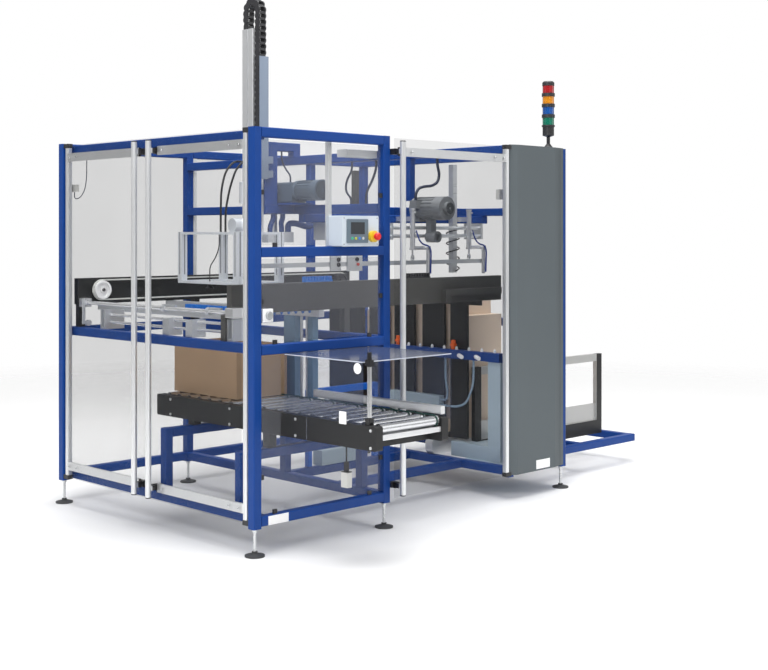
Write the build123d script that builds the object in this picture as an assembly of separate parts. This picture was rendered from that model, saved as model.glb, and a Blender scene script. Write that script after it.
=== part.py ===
from build123d import *
from math import ceil, cos, pi, radians, sin, tan
import os

# Tray erector, in millimetres. The origin is on the floor under the near left levelling foot.
# +X runs along the front to the magazine, +Y into the machine, +Z up.

# Main frame of square tube
TUBE = 50
TUBE_ROUND = 6
BAY_1 = 895
BAY_2 = 1045
BAY_3 = 510
FRAME_DEPTH = 1785
FOOT_HEIGHT = 135
FRAME_TOP = 2120
BOTTOM_BEAM_BASE = 145
WORK_BEAM_BASE = 990
WINDOW_BEAM_BASE = 1475
LIFT_BEAM_BASE = 1705
HEAD_BEAM_BASE = 1990
END_BEAM_DROP = 10
END_BEAM_SETBACK = 30

# Levelling feet
PAD_DIAMETER = 100
PAD_RIM = 8
PAD_CONE = 18
STEM_DIAMETER = 16
NUT_DIAMETER = 26
NUT_HEIGHT = 14

# Low frame that carries the conveyor
LOW_NEAR = 150
LOW_LOCK_GAP = 24
LOW_NEAR_TOP = 490
LOW_FAR_TOP = 540
FLOOR_BEAM_NEAR = 350
BLUE_RAIL_LEFT = 1060
BLUE_RAIL_RIGHT = 1640
BLUE_RAIL_BASE = 622
BLUE_RAIL_HEIGHT = 38
BLUE_RAIL_DEPTH = 30

# Clear sheets and their clips
SHEET = 5
GLAZING_GAP = 8
CLIP_LENGTH = 24
CLIP_DEPTH = 10
CLIP_LAP = 14
CLIP_INSET = 95
LOCK_INSET = 5
LOCK_WIDTH = 40
LOCK_HEIGHT = 27
LOCK_NEAR = 67
LOCK_SHIFT = 13
KEEPER_LIFT = 20
LOCK_FAR = 100
LOCK_FAR_GAP = 117
KEEPER = 10

# Guard doors
STILE = 32
STILE_ROUND = 9
STILE_POST_GAP = 16
END_DOOR_PROUD = 4
FRONT_DOOR_PROUD = 31
DOOR_GAP = 6
DOOR_ARM_HEIGHT = 48
DOOR_ARM_THICK = 12
DOOR_ARM_INSET = 31
SHEET_START = 22
SHEET_BASE = 160
SHEET_TOP = 2108
STILE_END_GAP = 1
PIVOT_BLOCK = 25
PIVOT_INSET = 2
PIN_DIAMETER = 12
PIN_LENGTH = 20
PIN_CLEARANCE = 0.3
HANDLE_DIAMETER = 32
HANDLE_STANDOFF = 22
END_HANDLE_INSET = 64
FRONT_HANDLE_INSET = 25
HANDLE_END_LOW = 20
HANDLE_END_HIGH = 20
BRACKET_HEIGHT = 26
BRACKET_WIDTH = 30
CATCH_DEPTH = 42
CATCH_HEIGHT = 32

# Cabinet at the right of the front door
COVER_SHEET = 3
COVER_DEPTH = 30
COVER_LIP = 8
COVER_BEVEL_LEFT = 50
COVER_BEVEL_RIGHT = 110
COVER_BASE = 150
COVER_TOP = 2122
COVER_OVERLAP_LEFT = 25
COVER_SHORT_RIGHT = 15
CABINET_DEPTH = 180
CABINET_WIDTH = 300

# Signal tower on the cabinet
TOWER_FROM_POST = 112
TOWER_Y = 8
LAMP_DIAMETER = 71
LAMP_HEIGHT = 46
LAMP_CORE = 40
LAMP_RING_DIAMETER = 81
LAMP_RING_HEIGHT = 20
TOWER_FLANGE = 57
TOWER_FLANGE_THICK = 5
NECK_DIAMETER = 22
TOWER_NECK = 78
TOWER_BASE = 65
TOWER_CAP = 28
CAP_CHAMFER = 8

# Plunger with its mast, which travel down into the forming opening
FORM_X = 463
FORM_Y = 791
PLUNGER_WIDTH = 330
PLUNGER_DEPTH = 546
PLUNGER_BASE = 1312
PLUNGER_TOP = 1600
PLUNGER_LEG = 40
PLUNGER_PLATE = 14
PLUNGER_BAR = 45
CUP_DIAMETER = 46
CUP_HEIGHT = 26
MAST_WIDTH = 80
MAST_DEPTH = 97
MAST_LEFT = 575
MAST_FRONT = 730
MAST_TOP = 2752
MAST_ROUND = 4
MAST_FOOT = 10
SLOT = 10
SLOT_DEPTH = 8
SLOT_INSET = 20
GUIDE_GAP = 0.5
GUIDE_HEIGHT = 80
EJECTOR_DIAMETER = 78
EJECTOR_LENGTH = 100
UNIT_DIAMETER = 40
UNIT_BASE = 1762
UNIT_TOP = 1885

# Energy chain over the mast, and the trough that it rises from
CHAIN_WIDTH = 50
CHAIN_THICK = 42
CHAIN_WAIST = 34
CHAIN_PITCH = 35
CHAIN_PLATE = 4
CHAIN_RUNG = 14
CHAIN_FRONT = 677
CHAIN_BACK_SETBACK = 3
CHAIN_SIDE_GAP = 5
CHAIN_END = 2110
CHAIN_TOP = 2926
TROUGH_SHEET = 4
TROUGH_FLANGE = 44
TROUGH_BASE = 1900
TROUGH_TOP = 2590
TROUGH_ARM = 40

# Bridge and column that hold the mast, with the gearmotor
BRIDGE_Y = 720
COLUMN_GAP = 5
COLUMN_WIDTH = 90
COLUMN_ARM_BASE = 2065
HANGER_Y = 795
HANGER_BASE = 1800
MOTOR_PLATE = 12
MOTOR_PLATE_RIGHT = 905
MOTOR_PLATE_DEPTH = 180
MOTOR_X = 820
MOTOR_DIAMETER = 118
MOTOR_LENGTH = 200
MOTOR_COWL = 25
MOTOR_FIN = 5
MOTOR_FINS = 18
GEARBOX_DEPTH = 155
GEARBOX_HEIGHT = 118
GEARBOX_HALF = 55
GEARBOX_ROUND = 14
SHAFT_DIAMETER = 30

# Outfeed roller conveyor and its tunnel guard
CONVEYOR_LEFT = 170
CONVEYOR_RIGHT = 666
CONVEYOR_FRONT = -682
CONVEYOR_BACK = 1080
SIDE_PLATE = 45
SIDE_BASE = 576
SIDE_TOP = 692
SIDE_ROUND = 10
ROLLER_DIAMETER = 50
ROLLER_TOP = 700
ROLLER_PITCH = 93
ROLLER_FIRST = 37
ROLLER_END_GAP = 4
ROLLER_AXLE = 10
CROSS_BAR_HEIGHT = 30
GUIDE_BAR_BASE = 704
GUIDE_BAR_HEIGHT = 40
GUIDE_BAR_BACK = 280
TUNNEL_RIGHT = 787
TUNNEL_FRONT = -592
TUNNEL_TOP = 990
TUNNEL_ROD = 22
OUTLET_BAR = 26
CONDUIT = 26
SHELF_LENGTH = 220
OUTLET_BAR_INSET = 7
ROD_CLAMP = 32

# Feed beams over the forming opening
NEAR_BEAM_FRONT = 300
FAR_BEAM_INSET = 85
FEED_BEAM_DEPTH = 40
FEED_BEAM_BASE = 1173
FEED_BEAM_TOP = 1327
NEAR_BEAM_LEFT = 90
FAR_BEAM_LEFT = 40
FEED_BEAM_RIGHT = 2232
LEFT_LEG = 30
WHEEL_DIAMETER = 108
WHEEL_WIDTH = 40
WHEEL_INSET = 110
WHEEL_LEFT = 188
WHEEL_Z = 1256
WHEEL_GAP = 4
HUB_DIAMETER = 24
BELT_THICK = 8
BELT_WIDTH = 10
BELT_LIFT = 0.3
L_BAR_LEFT = 1680
L_BAR_LIFT = 42
L_BAR_DEPTH = 35
CABLE_POST_Y = 226

# Folding gear at the left of the forming opening
FOLD_ROD = 22
FOLD_ROD_X = 74
FOLD_ROD_Z = 1185
FOLD_BLOCK = 52
LOW_ROD = 16
LOW_ROD_X = 104
LOW_ROD_Z = (1080, 1122)
YOKE_FRONT = 252
YOKE_BACK = 1440
YOKE_DEPTH = 48
YOKE_PLATE = 10
YOKE_LEFT = 60
YOKE_RIGHT = 190
YOKE_TOP = 1152
CARRIAGE_Y = (600, 812)
CARRIAGE_DEPTH = 58
CROSS_PROFILE = 40
CROSS_PROFILE_X = (200, 690)
CROSS_PROFILE_BASE = FEED_BEAM_BASE - CROSS_PROFILE
SIDE_LEG_NEAR = 500
SIDE_LEG_WIDTH = 95
SIDE_LEG_BASE = 640
CABLE_CHAIN_PITCH = 22
CABLE_CHAIN_HEIGHT = 30

# Pick unit over the magazine end
PICK_BEAM_FRONT = 625
PICK_RAIL = 22
PICK_RAIL_Y = 545
PICK_RAIL_Z = (1575, 1625)
PICK_HANGER_X = (985, 1480, 2300)
PICK_HANGER = 12
PICK_Y = 500
PICK_BAR = 25
PICK_BAR_BASE = 1402
PICK_BAR_LEFT = 450
PICK_BAR_RIGHT = 2260
CYLINDER_X = (1634, 2151)
CYLINDER_DIAMETER = 32
CYLINDER_ROD = 63
CYLINDER_LENGTH = 255
ARM_TUBE = 24
ARM_REACH = 112
ARM_DROP = 155
PICK_POST_X = 2094
PICK_POST_BASE = 1340
PICK_POST_TOP = 2030
BLOWER_X = 1800
BLOWER_LENGTH = 280
BLOWER_DIAMETER = 146
BLOWER_END = 79
BLOWER_END_LENGTH = 24
BLOWER_Z = 1745
OUTLET_DIAMETER = 70
OUTLET_BORE = 44
OUTLET_LENGTH = 80
OUTLET_Z = 1570
TERMINAL_BOX = 60

# Magazine at the right end
MAGAZINE_NEAR = 190
MAGAZINE_FAR = 1545
MAGAZINE_END = 3540
MAGAZINE_CROSS_X = 2925
GUIDE_NEAR = 400
GUIDE_FAR = 1400
GUIDE_THICK = 30
GUIDE_START = 2080
GUIDE_END = 3420
GUIDE_LOW_TOP = 290
GUIDE_PLATE_TOP = 407
GUIDE_BAR_TOP = 750
GUIDE_BAR_DEEP = 50
GUIDE_UPRIGHT = 60
BELT_RAIL_Y = (600, 1200)
BELT_RAIL_WIDTH = 60
BELT_RAIL_END = 3480
BELT_RAIL_ROUND = 40
FRONT_PLATE_X = 2030
FRONT_PLATE = 20
FRONT_PLATE_Y = ((410, 550), (605, 795), (870, 1050), (1110, 1290), (1350, 1690))
PLATE_FOOT = 30
BLANK_FRONT = 2080
BLANK_BACK = 2400
BLANK_BASE = 300
BLANK_TOP = 1160
BLANK_SIDE_GAP = 25
BLANK_NOTCH = 90

# Valve box, manifold bars and their hoses
VALVE_SETBACK = 40
VALVE_NEAR = 105
VALVE_FAR = 510
VALVE_HEIGHT = 90
VALVE_RIGHT = 2400
VALVE_BODY = 160
VALVE_BODY_FAR = 370
COLUMN_DEPTH = 100
MANIFOLD_BAR = 45
MANIFOLD_BASE = 805
MANIFOLD_HEIGHT = 55
MANIFOLD_FAR = 1060
LOW_MANIFOLD_BASE = 480

# Tray that stands formed on the rollers
TRAY_LEFT = 285
TRAY_RIGHT = 638
TRAY_FRONT = 507
TRAY_BACK = 1075
TRAY_WALL = 5
TRAY_TOP = 980

HALF = TUBE / 2
FAR_BEAM_FRONT = FRAME_DEPTH - FAR_BEAM_INSET
LOW_FAR = FRAME_DEPTH / 2 + LOCK_SHIFT - LOCK_NEAR / 2 - LOW_LOCK_GAP - TUBE
TUNNEL_LEFT = CONVEYOR_LEFT
POST_X = [0, BAY_1, BAY_1 + BAY_2, BAY_1 + BAY_2 + BAY_3]
POST_Y = [0, FRAME_DEPTH]
FRAME_RIGHT = POST_X[3]
TOP_BEAM_BASE = FRAME_TOP - TUBE
REAR_BEAM_FRONT = FRAME_DEPTH - HALF
FRONT_FACE = -HALF
REAR_FACE = FRAME_DEPTH + HALF
END_FACE = FRAME_RIGHT + HALF
FLOOR_BEAM_TOP = BOTTOM_BEAM_BASE + TUBE
END_BEAM_RIGHT = END_BEAM_SETBACK + TUBE

os.makedirs("parts", exist_ok=True)


def save(name, solids):
    """Write one sub-part as parts/NAME.step."""
    export_step(Compound(children=list(solids)), f"parts/{name}.step")


def fused(pieces):
    """One solid out of pieces that meet or lap."""
    first, *others = pieces
    return first.fuse(*others)


def block(x, y, z):
    """Rectangular solid between three pairs of bounds."""
    (x0, x1), (y0, y1), (z0, z1) = x, y, z
    centre = Pos((x0 + x1) / 2, (y0 + y1) / 2, (z0 + z1) / 2)
    return centre * Box(x1 - x0, y1 - y0, z1 - z0)


def around(middle, size):
    """Pair of bounds with a given middle and size."""
    return (middle - size / 2, middle + size / 2)


def after(start, size):
    """Pair of bounds from a start and a size."""
    return (start, start + size)


def rounded(axis, x, y, z, radius):
    """Bar whose four long edges, along axis, are rounded."""
    bar = block(x, y, z)
    return fillet(bar.edges().filter_by(axis), radius)


def beam_x(x0, x1, y, z):
    """Frame tube along X from its front face y and underside z."""
    return rounded(Axis.X, (x0, x1), after(y, TUBE), after(z, TUBE), TUBE_ROUND)


def beam_y(y0, y1, x, z):
    """Frame tube along Y from its left face x and underside z."""
    return rounded(Axis.Y, after(x, TUBE), (y0, y1), after(z, TUBE), TUBE_ROUND)


def post(x, y, z0, z1):
    """Upright frame tube from its left face x and front face y."""
    return rounded(Axis.Z, after(x, TUBE), after(y, TUBE), (z0, z1), TUBE_ROUND)


def rod_x(x0, x1, y, z, diameter):
    return Pos((x0 + x1) / 2, y, z) * Rot(0, 90, 0) * Cylinder(diameter / 2, x1 - x0)


def rod_y(y0, y1, x, z, diameter):
    return Pos(x, (y0 + y1) / 2, z) * Rot(90, 0, 0) * Cylinder(diameter / 2, y1 - y0)


def rod_z(z0, z1, x, y, diameter):
    return Pos(x, y, (z0 + z1) / 2) * Cylinder(diameter / 2, z1 - z0)


def turned(outline, x=0, y=0, z=0):
    """Solid of revolution about a vertical axis, from (radius, height) points."""
    face = make_face(Plane.XZ * Polyline(*outline, close=True))
    return Pos(x, y, z) * revolve(face, Axis.Z)


def plan(outline, z0, z1):
    """Upright prism over a plan outline."""
    return extrude(Pos(0, 0, z0) * make_face(Polyline(*outline, close=True)), z1 - z0, dir=(0, 0, 1))


# Posts and beams
save("frame_posts", [
    post(x - HALF, y - HALF, FOOT_HEIGHT, FRAME_TOP)
    for x in POST_X
    for y in POST_Y
])
window_levels = (BOTTOM_BEAM_BASE, WORK_BEAM_BASE, WINDOW_BEAM_BASE, TOP_BEAM_BASE)
window_beams = [beam_x(POST_X[0] + HALF, POST_X[1] - HALF, FRONT_FACE, z) for z in window_levels]
cabinet_levels = (BOTTOM_BEAM_BASE, TOP_BEAM_BASE)
cabinet_beams = [beam_x(POST_X[2] + HALF, POST_X[3] - HALF, FRONT_FACE, z) for z in cabinet_levels]
rear_beams = [
    beam_x(left + HALF, right - HALF, REAR_BEAM_FRONT, z)
    for left, right in zip(POST_X[:-1], POST_X[1:])
    for z in (BOTTOM_BEAM_BASE, WORK_BEAM_BASE, TOP_BEAM_BASE)
]
pick_beam = beam_x(POST_X[1] - HALF, END_FACE, PICK_BEAM_FRONT, LIFT_BEAM_BASE - TUBE)
save("long_beams", window_beams + cabinet_beams + rear_beams + [pick_beam])
end_levels = (BOTTOM_BEAM_BASE, WORK_BEAM_BASE, TOP_BEAM_BASE - END_BEAM_DROP)
end_beams = [beam_y(HALF, REAR_BEAM_FRONT, END_BEAM_SETBACK, z) for z in end_levels]
cross_places = [
    (POST_X[1], BOTTOM_BEAM_BASE),
    (POST_X[1], WORK_BEAM_BASE),
    (POST_X[1], LIFT_BEAM_BASE),
    (POST_X[1], HEAD_BEAM_BASE),
    (POST_X[2], BOTTOM_BEAM_BASE),
    (POST_X[2], TOP_BEAM_BASE),
    (POST_X[3], BOTTOM_BEAM_BASE),
    (POST_X[3], WORK_BEAM_BASE),
    (POST_X[3], LIFT_BEAM_BASE),
    (POST_X[3], TOP_BEAM_BASE),
]
cross_beams = [beam_y(HALF, REAR_BEAM_FRONT, x - HALF, z) for x, z in cross_places]
save("cross_beams", end_beams + cross_beams)


# Levelling feet: a disc with a coned top, a threaded stem and a lock nut under the post
def levelling_foot(x, y):
    rim = PAD_DIAMETER / 2
    stem = STEM_DIAMETER / 2
    boss = stem * 1.8
    nut = NUT_DIAMETER / 2
    nut_base = FOOT_HEIGHT - NUT_HEIGHT
    cone_top = PAD_RIM + PAD_CONE
    outline = [
        (0, 0), (rim, 0), (rim, PAD_RIM), (boss, cone_top - stem), (boss, cone_top),
        (stem, cone_top), (stem, nut_base), (nut, nut_base), (nut, FOOT_HEIGHT), (0, FOOT_HEIGHT),
    ]
    return turned(outline, x, y)


FOOT_X = [POST_X[0], POST_X[1], POST_X[3]]
save("levelling_feet", [levelling_foot(x, y) for x in FOOT_X for y in POST_Y])

# Low frame under the conveyor, the floor beams of the middle bay and a blue guide rail on two legs
low_frame = []
for y, top in ((LOW_NEAR, LOW_NEAR_TOP), (LOW_FAR, LOW_FAR_TOP)):
    left = post(END_BEAM_SETBACK, y, FLOOR_BEAM_TOP, top)
    right = post(POST_X[1] - HALF, y, FLOOR_BEAM_TOP, top)
    rail = beam_x(END_BEAM_RIGHT, POST_X[1] - HALF, y, top - TUBE)
    low_frame.append(fused([left, right, rail]))
for y in (FLOOR_BEAM_NEAR, LOW_FAR):
    low_frame.append(beam_x(POST_X[1] + HALF, POST_X[2] - HALF, y, BOTTOM_BEAM_BASE))
BLUE_RAIL_Y = after(LOW_FAR + (TUBE - BLUE_RAIL_DEPTH) / 2, BLUE_RAIL_DEPTH)
blue_rail = [block(
    (BLUE_RAIL_LEFT, BLUE_RAIL_RIGHT), BLUE_RAIL_Y, after(BLUE_RAIL_BASE, BLUE_RAIL_HEIGHT),
)]
for x in (BLUE_RAIL_LEFT, BLUE_RAIL_RIGHT - BLUE_RAIL_DEPTH):
    blue_rail.append(block(after(x, BLUE_RAIL_DEPTH), BLUE_RAIL_Y, (FLOOR_BEAM_TOP, BLUE_RAIL_BASE)))
low_frame[-1] = fused([low_frame[-1]] + blue_rail)
save("low_frame", low_frame)

# Clear sheets in the front bay; the middle one is whole, the others are cut round what passes them
BOX_LEFT = 495
BOX_RIGHT = 756
BOX_FRONT = -100
BOX_HEIGHT = 160
BOX_BASE = WINDOW_BEAM_BASE + TUBE
WINDOW_LEFT = POST_X[0] + HALF + GLAZING_GAP
WINDOW_RIGHT = POST_X[1] - HALF - GLAZING_GAP
WINDOW_FRONT = -SHEET


def window(z0, z1):
    glass_z = (z0 + GLAZING_GAP, z1 - GLAZING_GAP)
    return block((WINDOW_LEFT, WINDOW_RIGHT), (WINDOW_FRONT, 0), glass_z)


THROUGH_SHEET = around(WINDOW_FRONT / 2, 3 * SHEET)
box_hole = block(
    (BOX_LEFT - GLAZING_GAP, BOX_RIGHT + GLAZING_GAP),
    THROUGH_SHEET,
    (BOX_BASE, BOX_BASE + BOX_HEIGHT + GLAZING_GAP),
)
tunnel_mouth = block(
    (TUNNEL_LEFT - GLAZING_GAP, TUNNEL_RIGHT + GLAZING_GAP),
    THROUGH_SHEET,
    (SIDE_BASE - GLAZING_GAP, WORK_BEAM_BASE),
)
save("front_windows", [
    window(BOX_BASE, TOP_BEAM_BASE) - box_hole,
    window(WORK_BEAM_BASE + TUBE, WINDOW_BEAM_BASE),
    window(FLOOR_BEAM_TOP, WORK_BEAM_BASE) - tunnel_mouth,
])

# Black clips hold each sheet to the tube beside it
CLIP_Y = (WINDOW_FRONT - CLIP_DEPTH, WINDOW_FRONT)
CLIP_REACH = GLAZING_GAP + CLIP_LAP
BAY_LEFT = POST_X[0] + HALF
BAY_RIGHT = POST_X[1] - HALF
clips = []
window_bounds = (
    (BOX_BASE, TOP_BEAM_BASE),
    (WORK_BEAM_BASE + TUBE, WINDOW_BEAM_BASE),
    (FLOOR_BEAM_TOP, SIDE_BASE),
)
for low, high in window_bounds:
    middle = around((low + high) / 2, CLIP_LENGTH)
    clips.append(block(after(BAY_LEFT, CLIP_REACH), CLIP_Y, middle))
    clips.append(block(after(BAY_RIGHT - CLIP_REACH, CLIP_REACH), CLIP_Y, middle))
    for x in (BAY_LEFT + CLIP_INSET, BAY_RIGHT - CLIP_INSET):
        clips.append(block(around(x, CLIP_LENGTH), CLIP_Y, after(low, CLIP_REACH)))
lock_x = after(END_BEAM_SETBACK + LOCK_INSET, LOCK_WIDTH)
lock_levels = (after(FLOOR_BEAM_TOP, LOCK_HEIGHT), (TOP_BEAM_BASE - END_BEAM_DROP - LOCK_HEIGHT, TOP_BEAM_BASE - END_BEAM_DROP))
for level in lock_levels:
    clips.append(block(lock_x, around(FRAME_DEPTH / 2 + LOCK_SHIFT, LOCK_NEAR), level))
    clips.append(block(lock_x, after(FRAME_DEPTH / 2 + LOCK_FAR_GAP, LOCK_FAR), level))
keeper_x = after(POST_X[1] + HALF, KEEPER)
clips.append(block(keeper_x, (FRONT_FACE - KEEPER, 0), after(FLOOR_BEAM_TOP + KEEPER_LIFT, LOCK_HEIGHT)))
save("window_clips", clips)

# Rear and right end guard sheets, outside the tubes
rear_sheets = [
    block((left + DOOR_GAP / 2, right - DOOR_GAP / 2), after(REAR_FACE, SHEET), (SHEET_BASE, SHEET_TOP))
    for left, right in zip(POST_X[:-1], POST_X[1:])
]
end_sheet = block(after(END_FACE, SHEET), (0, FRAME_DEPTH), (WORK_BEAM_BASE + GLAZING_GAP, SHEET_TOP))
save("guard_sheets", rear_sheets + [end_sheet])

# A guard door, drawn hinged at the origin on the right of its post and running along +X
HINGE_OFFSET = HALF + STILE_POST_GAP + STILE / 2
PIVOT_TOP = FRAME_TOP - PIVOT_INSET
PIVOT_BASE = BOTTOM_BEAM_BASE + PIVOT_INSET
STILE_BASE = PIVOT_BASE + PIVOT_BLOCK + STILE_END_GAP
STILE_TOP = PIVOT_TOP - PIVOT_BLOCK - STILE_END_GAP
STILE_HALF = STILE / 2
DOOR_FACE = -STILE_HALF
ARM_LEVELS = (STILE_BASE + DOOR_ARM_INSET, STILE_TOP - DOOR_ARM_INSET - DOOR_ARM_HEIGHT)


def door_rails(width, inset, arm_levels):
    """Aluminium stile on the hinge line, arms along the sheet, and a catch block behind the tube."""
    stile = rounded(Axis.Z, around(0, STILE), around(0, STILE), (STILE_BASE, STILE_TOP), STILE_ROUND)
    bore_depth = PIN_LENGTH + STILE_END_GAP
    for z in (STILE_BASE, STILE_TOP):
        stile -= Pos(0, 0, z) * Cylinder(PIN_DIAMETER / 2 + PIN_CLEARANCE, 2 * bore_depth)
    catch_x = around(width - inset, BRACKET_WIDTH)
    rails = [stile]
    for z in ARM_LEVELS:
        catch_z = around(z + DOOR_ARM_HEIGHT / 2, CATCH_HEIGHT)
        catch = block(catch_x, after(DOOR_FACE, CATCH_DEPTH), catch_z)
        if z in arm_levels:
            arm_y = after(DOOR_FACE, DOOR_ARM_THICK)
            arm = block((STILE_HALF - STILE_ROUND, catch_x[0]), arm_y, after(z, DOOR_ARM_HEIGHT))
            rails[0] = fused([rails[0], arm, catch])
        else:
            rails.append(catch)
    return rails


def door_sheet(width):
    return block((SHEET_START, width), (DOOR_FACE - SHEET, DOOR_FACE), (SHEET_BASE, SHEET_TOP))


def door_handle(width, inset):
    """Full height grab tube on two brackets outside the sheet."""
    x = width - inset
    front = DOOR_FACE - SHEET
    y = front - HANDLE_STANDOFF - HANDLE_DIAMETER / 2
    grip = rod_z(SHEET_BASE + HANDLE_END_LOW, SHEET_TOP - HANDLE_END_HIGH, x, y, HANDLE_DIAMETER)
    for z in ARM_LEVELS:
        bracket_z = around(z + DOOR_ARM_HEIGHT / 2, BRACKET_HEIGHT)
        grip += block(around(x, BRACKET_WIDTH), (y, front), bracket_z)
    return grip


def pivot_pair():
    """Bearing blocks between post and stile, with the pins that the stile turns on."""
    reach = HINGE_OFFSET - HALF
    pin_low = after(PIVOT_BASE + PIVOT_BLOCK, PIN_LENGTH)
    pin_high = after(PIVOT_TOP - PIVOT_BLOCK - PIN_LENGTH, PIN_LENGTH)
    pair = []
    for base, pin in ((PIVOT_BASE, pin_low), (PIVOT_TOP - PIVOT_BLOCK, pin_high)):
        bearing = block((-reach, STILE_HALF), around(0, STILE), after(base, PIVOT_BLOCK))
        pair.append(bearing + rod_z(*pin, 0, 0, PIN_DIAMETER))
    return pair


END_DOOR_WIDTH = FRAME_DEPTH / 2 - HINGE_OFFSET - DOOR_GAP / 2
FRONT_DOOR_WIDTH = POST_X[2] - HINGE_OFFSET - POST_X[1] - HALF - DOOR_GAP
doors = {
    "near_door": (END_DOOR_WIDTH, END_HANDLE_INSET, ARM_LEVELS),
    "far_door": (END_DOOR_WIDTH, END_HANDLE_INSET, ARM_LEVELS),
    "front_door": (FRONT_DOOR_WIDTH, FRONT_HANDLE_INSET, ARM_LEVELS[1:]),
}


def placed(name, shape):
    """Move a door piece from the drawing position to its own hinge line."""
    if name == "near_door":
        return Pos(-END_DOOR_PROUD, HINGE_OFFSET, 0) * Rot(0, 0, 90) * mirror(shape, Plane.XZ)
    if name == "far_door":
        return Pos(-END_DOOR_PROUD, FRAME_DEPTH - HINGE_OFFSET, 0) * Rot(0, 0, -90) * shape
    return Pos(POST_X[2] - HINGE_OFFSET, -FRONT_DOOR_PROUD, 0) * mirror(shape, Plane.YZ)


pivots = []
for name, (width, inset, arm_levels) in doors.items():
    rails = door_rails(width, inset, arm_levels) + [door_handle(width, inset)]
    save(f"{name}_rails", [placed(name, rail) for rail in rails])
    save(f"{name}_sheet", [placed(name, door_sheet(width))])
    pivots.extend(placed(name, pivot) for pivot in pivot_pair())
save("door_pivots", pivots)

# Safety switches by the door stiles, and the sensor that hangs on its cable under the conveyor
SWITCH = 26
SWITCH_LENGTH = 60
SWITCH_BASE = 1795
SWITCH_CLEAR = 21
SWITCH_HEIGHT = 42
SENSOR_Y = -459
SENSOR_X = CONVEYOR_LEFT + 20
end_switch_y = (FRAME_DEPTH - HALF - SWITCH_LENGTH, FRAME_DEPTH - HALF)
end_switch_z = after(SWITCH_BASE + SWITCH_HEIGHT, SWITCH_HEIGHT)
end_switch = block(after(SWITCH_CLEAR, SWITCH), end_switch_y, end_switch_z)
front_switch = block(around(POST_X[2] - HALF, 2 * SWITCH), after(HALF, SWITCH), after(SWITCH_BASE, SWITCH_LENGTH))
sensor = [
    rod_z(SIDE_BASE - 76, SIDE_BASE, SENSOR_X, SENSOR_Y, 8),
    block(around(SENSOR_X, 18), around(SENSOR_Y, 18), (SIDE_BASE - 122, SIDE_BASE - 74)),
    block(around(SENSOR_X, 30), around(SENSOR_Y, 45), (SIDE_BASE - 196, SIDE_BASE - 120)),
]
save("door_switches", [end_switch, front_switch, fused(sensor)])

# Folded cover over the cabinet bay, with a gentle bevel down each side
COVER_LEFT = POST_X[2] - COVER_OVERLAP_LEFT
COVER_RIGHT = FRAME_RIGHT - COVER_SHORT_RIGHT
COVER_FRONT = FRONT_FACE - COVER_DEPTH


def cover_outline(inset):
    lip = FRONT_FACE - COVER_LIP
    return [
        (COVER_LEFT + inset, FRONT_FACE),
        (COVER_LEFT + inset, lip),
        (COVER_LEFT + COVER_BEVEL_LEFT, COVER_FRONT + inset),
        (COVER_RIGHT - COVER_BEVEL_RIGHT, COVER_FRONT + inset),
        (COVER_RIGHT - inset, lip),
        (COVER_RIGHT - inset, FRONT_FACE),
    ]


cover = plan(cover_outline(0), COVER_BASE, COVER_TOP)
cover -= plan(cover_outline(COVER_SHEET), COVER_BASE + COVER_SHEET, COVER_TOP - COVER_SHEET)
save("cabinet_cover", [cover])
cabinet = rounded(
    Axis.Z,
    after(END_FACE - TUBE - CABINET_WIDTH, CABINET_WIDTH),
    after(FRONT_FACE, CABINET_DEPTH),
    (FLOOR_BEAM_TOP, TOP_BEAM_BASE),
    TUBE_ROUND,
)
save("cabinet_body", [cabinet])

# Signal tower: black foot, neck, rings and cap in one turned piece, with four lenses between
TOWER_X = FRAME_RIGHT - TOWER_FROM_POST
lens_r = LAMP_DIAMETER / 2
ring_r = LAMP_RING_DIAMETER / 2
core_r = LAMP_CORE / 2
neck_r = NECK_DIAMETER / 2
cap_r = lens_r + 2
level = TOWER_NECK + TOWER_BASE
tower = [
    (0, 0), (TOWER_FLANGE / 2, 0), (TOWER_FLANGE / 2, TOWER_FLANGE_THICK),
    (neck_r, TOWER_FLANGE / 2), (neck_r, TOWER_NECK - CAP_CHAMFER), (lens_r, TOWER_NECK),
    (lens_r, level - LAMP_RING_HEIGHT / 2), (ring_r, level - LAMP_RING_HEIGHT / 2),
]
lamps = ("green", "blue", "amber", "red")
lamp_base = [level + i * (LAMP_HEIGHT + LAMP_RING_HEIGHT) for i in range(len(lamps))]
for base in lamp_base:
    above = base + LAMP_HEIGHT
    shoulder = cap_r if base == lamp_base[-1] else ring_r
    tower += [(ring_r, base), (core_r, base), (core_r, above), (shoulder, above)]
cap_top = lamp_base[-1] + LAMP_HEIGHT + TOWER_CAP
tower += [(cap_r, cap_top - CAP_CHAMFER), (cap_r - CAP_CHAMFER, cap_top), (0, cap_top)]
save("signal_tower", [turned(tower, TOWER_X, TOWER_Y, FRAME_TOP)])
lens_outline = [(core_r, 0), (lens_r, 0), (lens_r, LAMP_HEIGHT), (core_r, LAMP_HEIGHT)]
for colour, base in zip(lamps, lamp_base):
    save(f"{colour}_lamp", [turned(lens_outline, TOWER_X, TOWER_Y, FRAME_TOP + base)])

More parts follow.
